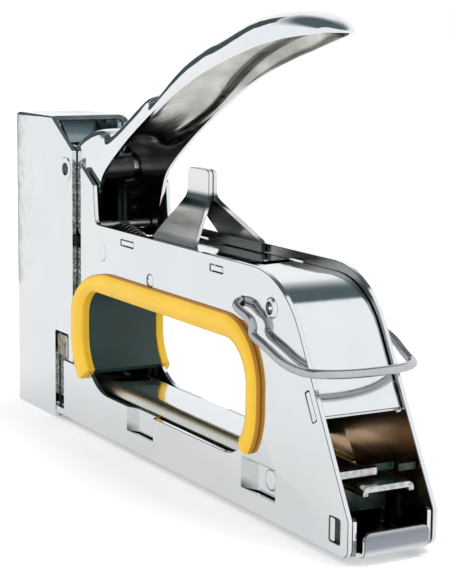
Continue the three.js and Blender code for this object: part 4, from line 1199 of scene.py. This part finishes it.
def tray_mesh():
    t, inner, rear = TRAY, NEST - TRAY["sheet"], PLATE["rear"]
    floor = t["bottom"] + t["sheet"]
    section = rounded([
        (-NEST, t["bottom"], BEND), (NEST, t["bottom"], BEND), (NEST, t["wall"]), (inner, t["wall"]),
        (inner, floor, 0.3), (-inner, floor, 0.3), (-inner, t["wall"]), (-NEST, t["wall"]),
    ])
    parts = [cut_sheet([section], t["front"], rear - FIT, "x", 0.1)]
    x0, x1, z0, z1 = HEEL_TAB
    heel = rounded([(rear - 10, t["bottom"] + 0.2), (rear - FIT, t["bottom"] + 0.2),
                    (rear - FIT, t["heel_top"], 1.6), (rear - 10, t["heel_top"], 1.6)])
    for side in SIDES.values():
        parts.append(cut_sheet([heel], *wall(side, inner, NEST - 0.02), edge=0.1))
        for start, end, depth, index in ((x0, x0 + 1.9, 0.15, 0), (x0 + 1.9, x1, 0.9, 2)):
            tab = cut_sheet([box2(start, end, z0, z1, 0.3)], *wall(side, inner, PLATE_OUT - depth), edge=0.15)
            parts.append(painted(tab, index))
    whole = merged(*parts, lip_mesh())
    lip_front, lip_side = at(LENGTH - 2.2, 0, 0).x, (t["lip_half"] - 1e-5) * MM
    # Lip faces take the lip finish; elsewhere upward and inward faces take painted shade
    for face in whole.polygons:
        if face.center.x > lip_front and abs(face.center.y) < lip_side:
            face.material_index = 3 if face.material_index == 0 else 1
        elif face.normal.z > 0.5 or face.normal.y * face.center.y < -1e-5 * MM:
            face.material_index = 2
    return whole


def lip_mesh():
    """The tray's rear end, bent up into a lip with round corners."""
    line = bent([(PLATE["rear"] - 3, TRAY["bottom"]), (LENGTH, TRAY["bottom"], 1.5),
                 (LENGTH, TRAY["lip_top"])])
    rows = []
    for p in fine_line(line, 0.35):
        half = TRAY["lip_half"] - corner_nip(p.y, TRAY["lip_top"], 1.8)
        rows.append([(p.x, half * (1 - i / 6), p.y) for i in range(13)])
    return leaf(rows, -TRAY["sheet"])


def catch_mesh():
    """The catch for the pull tab: its left half stands out, its right half lies back and is painted dark as
    shade.
    """
    c = CATCH
    back = c["x1"] - 1.5 * c["notch_depth"]
    outline = rounded([
        (c["x0"], -NEST), (c["x1"], -NEST, 0.4), (c["x1"], c["end"], 0.9), (back, c["end"], 0.3),
        (back, c["notch"], 0.5), (c["x1"], c["notch"], 0.4), (c["x1"], NEST, 0.4), (c["x0"], NEST),
    ])
    mesh = cut_sheet([outline], c["z"], c["z"] + c["thick"], "z")
    return painted(mesh, 2, lambda face: face.center.y > (c["end"] - 0.3) * MM)


def tab_mesh():
    t, u = TAB, UPRIGHT
    tab = cut_sheet([arch(t["half"], t["top"] - t["skirt"], t["top"], t["radius"], t["sheet"])],
                    u["x"], t["rear"], "x", 0.3)
    upright = cut_sheet([box2(-u["half"], u["half"], u["bottom"], t["top"] - 0.7, 0.5)],
                        u["x"], u["x"] + u["thick"], "x")
    # The upright is painted dark as shade
    return merged(tab, painted(upright, 2))


def rod_mesh():
    r = ROD
    neck = r["front"] + r["head_length"]
    profile = [(0.0, r["front"]), (r["head"] - 0.3, r["front"]), (r["head"], r["front"] + 0.3),
               (r["head"], neck - 0.2), (r["radius"], neck), (r["radius"], r["rear"]), (0.0, r["rear"])]
    return lathe(profile, (0, r["z"]), 28, "x")


# Pins

def both_ends(end):
    """Half section of a pin from that of one of its two like ends."""
    return [(r, -y) for r, y in end] + [(r, y) for r, y in reversed(end)]


def pin(spot, half, ease=0.25):
    """A plain pin whose ends are eased."""
    radius = spot[2]
    return lathe(both_ends([(0.0, half), (radius - ease, half), (radius - 0.3 * ease, half - 0.3 * ease),
                            (radius, half - ease)]), spot[:2])


def domed_rivet():
    """A pin with a low domed head that has a groove round its middle, painted dark as shade."""
    radius, half = CROSS_PIN[2], PLATE_OUT + RIVET_DOME
    head = radius + 0.5
    end = [(0.0, half - 0.2), (0.45, half - 0.25), (0.65, half - 0.6), (1.45, half - 0.6), (1.7, half - 0.12),
           (2.0, half - 0.1), (head - 0.3, half - 0.35), (head, PLATE_OUT + 0.03), (radius, PLATE_OUT)]
    return paint_shade_between(lathe(both_ends(end), CROSS_PIN[:2]), CROSS_PIN, 0.6, 1.7)


def pivot_rivet():
    """A flat ring round a groove with a small middle; groove and middle are painted dark as shade."""
    h = PIVOT_HEAD
    tip = PLATE_OUT + FIT + h["thick"]
    end = [(0.0, tip - 0.3), (h["middle"] - 0.2, tip - 0.3), (h["middle"], tip - h["depth"]),
           (h["dish"] - 0.4, tip - h["depth"]), (h["dish"], tip - 0.05), (h["dish"] + 0.2, tip),
           (h["radius"] - 0.25, tip), (h["radius"], tip - 0.2), (h["radius"], PLATE_OUT + 0.02),
           (PIVOT[2], PLATE_OUT)]
    return paint_shade_between(lathe(both_ends(end), PIVOT[:2]), PIVOT, 0, h["dish"])


def paint_shade_between(mesh, spot, inner, outer):
    """The faces of a turned piece between two distances from its axis take the edge finish, painted shade."""
    middle = at(spot[0], 0, spot[1])
    return painted(mesh, 1, lambda face: inner * MM < math.hypot(
        face.center.x - middle.x, face.center.z - middle.z) < outer * MM)


# Wire and springs with Geometry Nodes

def wire_tree(name, coiled=False):
    """Sweeps a round wire along the object's curve, or along a coil that stands on the origin."""
    tree = bpy.data.node_groups.new(name, "GeometryNodeTree")
    for socket, kind, default in WIRE_SOCKETS + (COIL_SOCKETS if coiled else ()):
        new = tree.interface.new_socket(socket, in_out="INPUT", socket_type=f"NodeSocket{kind}")
        if default is not None:
            new.default_value = default
    tree.interface.new_socket("Geometry", in_out="OUTPUT", socket_type="NodeSocketGeometry")
    nodes = Nodes(tree)
    given = nodes.add("NodeGroupInput").outputs
    path = given["Geometry"]
    if coiled:
        path = nodes.add("GeometryNodeCurveSpiral", {
            "Resolution": given["Steps per Turn"], "Rotations": given["Turns"], "Height": given["Length"],
            "Start Radius": given["Coil Radius"], "End Radius": given["Coil Radius"],
        }).outputs["Curve"]
    ring = nodes.add("GeometryNodeCurvePrimitiveCircle", {
        "Radius": given["Wire Radius"], "Resolution": given["Wire Sides"]})
    sweep = nodes.add("GeometryNodeCurveToMesh", {
        "Curve": path, "Profile Curve": ring.outputs["Curve"], "Fill Caps": True})
    real = nodes.add("GeometryNodeRealizeInstances", {"Geometry": sweep.outputs["Mesh"]})
    paint = nodes.add("GeometryNodeSetMaterial", {
        "Geometry": real.outputs["Geometry"], "Material": given["Wire Material"]})
    nodes.add("NodeGroupOutput", {"Geometry": paint.outputs["Geometry"]})
    return tree


def run_tree(obj, tree, **values):
    """Runs a node tree on an object and gives the result as a plain mesh."""
    step = modifier(obj, "NODES", node_group=tree)
    sockets = {s.name: s.identifier for s in tree.interface.items_tree
               if s.item_type == "SOCKET" and s.in_out == "INPUT"}
    for name, value in values.items():
        step[sockets[name]] = value
    return cleaned(baked(obj), 1e-8)


def spring_mesh(spring, turns, length, finish):
    values = {
        "Coil Radius": spring["radius"] * MM, "Wire Radius": spring["wire"] / 2 * MM, "Wire Sides": 10,
        "Length": (length - spring["wire"]) * MM, "Turns": float(turns), "Wire Material": MATERIALS[finish],
    }
    holder = linked("spring", bpy.data.meshes.new("spring"))
    mesh = run_tree(holder, wire_tree("Wound spring", True), **values)
    mesh.transform(Matrix.Translation((0, 0, spring["wire"] / 2 * MM)))
    return mesh


def bail_mesh(radius):
    half = BAIL["half"]
    left, right = ([Vector((BAIL["x"] + x, side * share * half, BAIL["z"] + z)) for x, share, z in stations]
                   for side, stations in ((-1, BAIL_STATIONS), (1, BAIL_FAR[:-1])))
    fine = spline_through(left + right[::-1], 6)
    path = drawn([[at(p.x, max(-half, min(half, p.y)), p.z) for p in fine]], False, dimensions="3D")
    values = {"Wire Radius": radius, "Wire Sides": 20, "Wire Material": MATERIALS["wire"]}
    return run_tree(path, wire_tree("Wire along a path"), **values)


# Sizes and operators

class StapleGunSizes(bpy.types.PropertyGroup):
    """Sizes and colours that a user would change"""
    bail_wire: bpy.props.FloatProperty(
        name="Bail wire", description="Thickness of the bail's wire", default=BAIL["wire"] * MM,
        min=0.0016, max=0.0022, unit="LENGTH", precision=4)
    power_turns: bpy.props.IntProperty(
        name="Power spring turns", description="Turns of the power spring", default=POWER_SPRING["turns"],
        min=6, max=12)
    return_turns: bpy.props.IntProperty(
        name="Return spring turns", description="Turns of the lever's return spring",
        default=RETURN_SPRING["turns"], min=12, max=30)
    follower_turns: bpy.props.IntProperty(
        name="Follower spring turns", description="Turns of the spring behind the follower",
        default=FOLLOWER_SPRING["turns"], min=20, max=60)
    trim_colour: bpy.props.FloatVectorProperty(
        name="Trim", description="Colour of the trims round the hand hole", default=(0.93, 0.57, 0.03),
        min=0, max=1, subtype="COLOR")
    liner_colour: bpy.props.FloatVectorProperty(
        name="Liner", description="Colour of the liner in the hand hole", default=(0.027, 0.058, 0.057),
        min=0, max=1, subtype="COLOR")
    floor_colour: bpy.props.FloatVectorProperty(
        name="Floor", description="Colour of the floor", default=(0.93, 0.932, 0.935), min=0, max=1,
        subtype="COLOR")
    lamp_strength: bpy.props.FloatProperty(
        name="Lamps", description="Strength of the lamps against their plain level", default=1, min=0, max=2,
        subtype="FACTOR")


def sizes_of(context):
    """The scene's sizes, once the finishes have been made."""
    if not MATERIALS:
        raise RuntimeError("Make the finishes first")
    return context.scene.staple_gun_sizes


class STAPLEGUN_OT_finishes(bpy.types.Operator):
    """The materials of all pieces"""
    bl_idname = "staplegun.finishes"
    bl_label = "Finishes"

    def execute(self, context):
        make_materials(context.scene.staple_gun_sizes)
        return {"FINISHED"}


HIDDEN_PIECES = (
    ("driver_housing", "shaded_speckle", "frame", "dark_steel"), ("spring_bracket", "panel", "frame", "steel"),
    ("front_guide", "steel", "frame", "steel"), ("driver_blade", "steel", "driver", "steel"),
    ("plunger", "dark steel", "driver", "dark_steel"), ("bumper", "rubber", "frame", "rubber"),
    ("nose_key", "brass", "frame", "steel"), ("lift_fork", "dark steel", "handle", "dark_steel"),
    ("follower", "dark steel", "follower", "dark_steel"),
)


def cheek_ears():
    """The nose's inner cheeks go on upwards inside the lever's cheeks."""
    return [block(*CHEEK_EAR["x"], *wall(side, CHEEK_EAR["inner"], reach), z0, z1)
            for side in SIDES.values() for reach, z0, z1 in CHEEK_EAR["steps"]]


def inner_piece(node, soft):
    """The solid itself, its flat triangles joined and its edges eased by a width."""
    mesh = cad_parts[node].data.copy()
    mesh.transform(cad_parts[node].matrix_world)
    mesh.materials.clear()
    if node == "spring_bracket":
        for spot in mesh.vertices:
            if abs(spot.co.y) < (TONGUE["half"] + EDGE) * MM:
                spot.co.y *= TONGUE["spread"]
    mesh = eased(cleaned(mesh, flat=math.radians(1)), soft)
    if node != "driver_housing":
        return mesh
    # Rear-facing and inward faces of the driver housing take painted shade
    return painted(combined(mesh, *cheek_ears(), operation="UNION"), 2, lambda face: face.normal.x > 0.5
                   or face.normal.y * face.center.y < -0.5 * abs(face.center.y))


class STAPLEGUN_OT_body(bpy.types.Operator):
    """Two side plates and the cap over the nose"""
    bl_idname = "staplegun.body"
    bl_label = "Body sheets"

    def execute(self, context):
        sizes_of(context)
        for name, side in SIDES.items():
            finished(f"plate_{name}", plate_mesh(side), ("chrome", "edge", "inside"), "frame",
                     [f"side_plate_{name}"], math.radians(28))
        finished("nose_wrap", cap_mesh(), "chrome", "frame", ["nose_cap"])
        return {"FINISHED"}


class STAPLEGUN_OT_top(bpy.types.Operator):
    """The cover over the body and the stop for the lever"""
    bl_idname = "staplegun.top"
    bl_label = "Cover and stop"

    def execute(self, context):
        sizes_of(context)
        finished("cover_sheet", cover_mesh(), "cover chrome", "frame", ["top_cover"])
        stop = merged(stop_leaf(-1), stop_leaf(1))
        finished("stop_sheets", stop, "stop chrome", "frame", ["handle_stop"])
        return {"FINISHED"}


class STAPLEGUN_OT_lever(bpy.types.Operator):
    """The squeeze lever and its rivet"""
    bl_idname = "staplegun.lever"
    bl_label = "Lever"

    def execute(self, context):
        sizes_of(context)
        finished("lever", lever_mesh(), LEVER_FINISHES, "handle", ["handle_shell"])
        finished("pivot_rivet", pivot_rivet(), "chrome", "frame", ["pivot_pin"])
        return {"FINISHED"}


class STAPLEGUN_OT_grip(bpy.types.Operator):
    """The two trims round the hand hole and the liner between them"""
    bl_idname = "staplegun.grip"
    bl_label = "Grip"

    def execute(self, context):
        sizes_of(context)
        for name, side in SIDES.items():
            mesh = along_grip(trim_section(side), TRIM_FINISHES, TRIM["width"] - 0.6)
            finished(f"trim_{name}", mesh, TRIM_FINISHES, "frame", [f"grip_trim_{name}"],
                     SHARP_ANGLE)
        mesh = along_grip(box2(-0.9, 0.9, -NEST, NEST, 0.25), ["slate"])
        finished("liner", mesh, ["slate"], "frame", ["grip_liner"])
        return {"FINISHED"}


class STAPLEGUN_OT_magazine(bpy.types.Operator):
    """Magazine housing, base tray, catch, pull tab and rod"""
    bl_idname = "staplegun.magazine"
    bl_label = "Magazine"

    def execute(self, context):
        sizes_of(context)
        finished("magazine", housing_mesh(), ("magazine", "edge", "shaded inside", "satin"), "frame",
                 ["magazine_housing"])
        finished("tray", tray_mesh(), ("cover chrome", "edge", "shaded inside", "lip"), "frame",
                 ["base_tray"])
        finished("catch", catch_mesh(), ("worn", "edge", "shaded inside"), "frame", ["catch_bar"])
        finished("tab", tab_mesh(), ("worn", "edge", "shaded inside"), "pusher", ["pull_tab"])
        finished("rod", rod_mesh(), "steel", "pusher", ["pusher_rod"])
        return {"FINISHED"}


class STAPLEGUN_OT_wires(bpy.types.Operator):
    """The wire bail and the three springs"""
    bl_idname = "staplegun.wires"
    bl_label = "Bail and springs"

    def execute(self, context):
        sizes = sizes_of(context)
        finished("bail_wire", bail_mesh(sizes.bail_wire / 2), "wire", "bail", ["bail"], ROUND_ANGLE)
        power = POWER_SPRING
        mesh = spring_mesh(power, sizes.power_turns, power["z1"] - power["z0"], "dark steel")
        mesh.transform(Matrix.Translation(at(power["x"], 0, power["z0"])))
        obj = finished("power_coil", mesh, "dark steel", "frame", ["power_spring"], ROUND_ANGLE)
        length = power["z1"] - power["z0"]
        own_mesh(obj)
        coil = FOLLOWER_SPRING
        length = coil["x1"] - coil["x0"]
        mesh = spring_mesh(coil, sizes.follower_turns, length, "steel")
        lying = Matrix.Rotation(math.pi / 2, 4, "Y")
        mesh.transform(Matrix.Translation(at(coil["x0"], 0, coil["z"])) @ lying)
        obj = finished("follower_coil", mesh, "steel", "pusher", ["follower_spring"], ROUND_ANGLE)
        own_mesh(obj)
        self.stretch_spring(sizes.return_turns)
        return {"FINISHED"}

    def stretch_spring(self, turns):
        hook, anchor = Vector(HOOK_PIN[:2]), Vector(ANCHOR[:2])
        way = (anchor - hook).normalized()
        start = hook + way * (HOOK_PIN[2] + FIT)
        end = anchor - way * (ANCHOR[2] + FIT)
        mesh = spring_mesh(RETURN_SPRING, turns, (end - start).length, "dark steel")
        turn = Vector((0, 0, 1)).rotation_difference(Vector((way.x, 0, way.y))).to_matrix().to_4x4()
        mesh.transform(Matrix.Translation(at(start.x, 0, start.y)) @ turn)
        obj = finished("return_coil", mesh, "dark steel", None, ["return_spring"], ROUND_ANGLE)
        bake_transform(obj)


class STAPLEGUN_OT_pins(bpy.types.Operator):
    """Pins of the springs and of the bail's plate"""
    bl_idname = "staplegun.pins"
    bl_label = "Pins"

    def execute(self, context):
        sizes_of(context)
        finished("anchor_rivet", pin(ANCHOR, PLATE_OUT), "chrome", "frame", ["anchor_pin"])
        finished("rear_rivet", domed_rivet(), "chrome", "frame", ["rear_cross_pin"])
        finished("hook_rod", pin(HOOK_PIN, 9.5), "steel", "handle", ["spring_hook_pin"])
        for node, finish, body, slot in HIDDEN_PIECES:
            # The bracket and the key get painted highlights on their edges, the other pieces painted shade
            rim = "highlight edge" if finish in ("panel", "brass") else "edge"
            mesh = inner_piece(node, 0.35 if finish == "panel" else 0.18)
            finished(f"{node}_piece", mesh, (finish, rim, "nose painted shade"), body, [node])
        return {"FINISHED"}


class STAPLEGUN_OT_stage(bpy.types.Operator):
    """Pale floor, plain light and the camera"""
    bl_idname = "staplegun.stage"
    bl_label = "Stage"

    def execute(self, context):
        sizes = sizes_of(context)
        make_floor(sizes.floor_colour)
        make_world()
        make_lamps(sizes.lamp_strength)
        make_camera()
        context.scene.view_settings.view_transform = "Standard"
        return {"FINISHED"}


def plane(name, corners, make, **visible):
    """One flat face of the stage with its finish."""
    mesh = mesh_from(name, corners, [(0, 1, 2, 3)])
    mesh.materials.append(make.material)
    obj = linked(name, mesh)
    for key, value in visible.items():
        setattr(obj, f"visible_{key}", value)
    return obj


def make_floor(colour):
    """Pale floor, and a dark card behind the nose that only the polished metal shows."""
    make = Finish("floor paper", roughness=0.9, specular=0.1)
    make.shader.inputs["Base Color"].default_value = (*colour, 1)
    make.shader.inputs["Emission Color"].default_value = (1, 1, 1, 1)
    path = make.add("ShaderNodeLightPath").outputs
    lift = make.maths("MULTIPLY", path["Is Camera Ray"], FLOOR_LIFT)
    make.feed(make.shader, "Emission Strength", lift)
    # Polished metal sees the floor with a weaker shadow on it
    glow = make.add("ShaderNodeEmission", {"Strength": FLOOR_SHINE["level"]})
    share = make.maths("MULTIPLY", path["Is Glossy Ray"], FLOOR_SHINE["share"])
    mix = make.add("ShaderNodeMixShader", {
        "Fac": share, 1: make.shader.outputs["BSDF"], 2: glow.outputs["Emission"]})
    make.feed(make.tree.nodes["Material Output"], "Surface", mix.outputs["Shader"])
    half = 6
    floor = plane("floor", [(-half, -half, 0), (half, -half, 0), (half, half, 0), (-half, half, 0)], make)
    floor.location.z = FLOOR_DROP
    make = Finish("card", roughness=0.8, specular=0.1)
    make.shader.inputs["Base Color"].default_value = (0.055, 0.08, 0.078, 1)
    (x0, y0), (x1, y1), top = CARD
    card = plane("card", [(x0, y0, 0), (x1, y1, 0), (x1, y1, top), (x0, y0, top)], make,
                 camera=False, shadow=False, diffuse=False)


def make_world():
    """White for the camera; for polished metal, white walls and a dark ceiling at the back."""
    world = bpy.data.worlds.new("studio")
    bpy.context.scene.world = world
    world.use_nodes = True
    make = Nodes(world.node_tree)
    path = make.add("ShaderNodeLightPath").outputs
    way = make.split("Generated")
    along_x, along_y = (make.maths("MULTIPLY", way[a], k) for a, k in (("X", -0.996), ("Y", -0.087)))
    back = make.maths("ADD", along_x, along_y)
    behind = make.ranged(back, 0, 1, -0.03, 0.05, "SMOOTHSTEP")
    high = make.ranged(way["Z"], 0, 1, *CEILING, "SMOOTHSTEP")
    shine = make.mixed(make.maths("MULTIPLY", behind, high), (0.96, 0.98, 1.0), (0.09, 0.125, 0.135))
    seen = make.mixed(path["Is Camera Ray"], shine, (1.0, 1.0, 1.0))
    sharp = make.maths("MAXIMUM", path["Is Camera Ray"], path["Is Glossy Ray"])
    sky = world.node_tree.nodes["Background"]
    make.feed(sky, "Color", make.mixed(sharp, (AMBIENT, AMBIENT, AMBIENT), seen))
    make.feed(sky, "Strength", 1.0)


def make_lamps(strength):
    """A soft sun from behind the tool and a weak one from the camera's side that casts no shadow."""
    for name, lamp in (("soft sun", SUN), ("fill", FILL)):
        sun = bpy.data.lights.new(name, "SUN")
        sun.energy = lamp["energy"] * strength
        sun.angle = math.radians(lamp["softness"])
        sun.use_shadow = lamp is SUN
        obj = linked(name, sun)
        obj.rotation_euler = (-Vector(lamp["from"])).to_track_quat("-Z", "Y").to_euler()
        obj.visible_glossy = False


def make_camera():
    right = Vector((0.48788713, 0.8728511, 0.00985469))
    down = Vector((0.14536985, -0.07011343, -0.98688992))
    ahead = Vector((-0.860717, 0.48292346, -0.16109368))
    data = bpy.data.cameras.new("photo camera")
    data.sensor_fit = "HORIZONTAL"
    data.sensor_width = 36
    data.lens = 133.37
    data.shift_x = 0.0172
    data.clip_start = 0.01
    camera = linked("photo camera", data)
    turn = Matrix((right, -down, -ahead)).transposed().to_4x4()
    camera.matrix_world = Matrix.Translation((0.4041626, -0.2190474, 0.1243244)) @ turn
    bpy.context.scene.camera = camera


class STAPLEGUN_PT_panel(bpy.types.Panel):
    """Lists the steps that build the tool"""
    bl_idname = "STAPLEGUN_PT_panel"
    bl_label = "Staple Gun"
    bl_space_type = "VIEW_3D"
    bl_region_type = "UI"
    bl_category = "Staple Gun"

    def draw(self, context):
        sizes = context.scene.staple_gun_sizes
        for name in StapleGunSizes.__annotations__:
            self.layout.prop(sizes, name)
        for operator in OPERATORS:
            self.layout.operator(operator.bl_idname)


OPERATORS = (
    STAPLEGUN_OT_finishes, STAPLEGUN_OT_body, STAPLEGUN_OT_top, STAPLEGUN_OT_lever,
    STAPLEGUN_OT_grip, STAPLEGUN_OT_magazine, STAPLEGUN_OT_wires, STAPLEGUN_OT_pins, STAPLEGUN_OT_stage,
)
CLASSES = (StapleGunSizes, *OPERATORS, STAPLEGUN_PT_panel)


def register():
    for cls in CLASSES:
        bpy.utils.register_class(cls)
    bpy.types.Scene.staple_gun_sizes = bpy.props.PointerProperty(type=StapleGunSizes)


def unregister():
    del bpy.types.Scene.staple_gun_sizes
    for cls in reversed(CLASSES):
        bpy.utils.unregister_class(cls)


def main():
    register()
    bpy.ops.staplegun.finishes()
    bpy.ops.staplegun.body()
    bpy.ops.staplegun.top()
    bpy.ops.staplegun.lever()
    bpy.ops.staplegun.grip()
    bpy.ops.staplegun.magazine()
    bpy.ops.staplegun.wires()
    bpy.ops.staplegun.pins()
    bpy.ops.staplegun.stage()


if __name__ == "__main__":
    main()
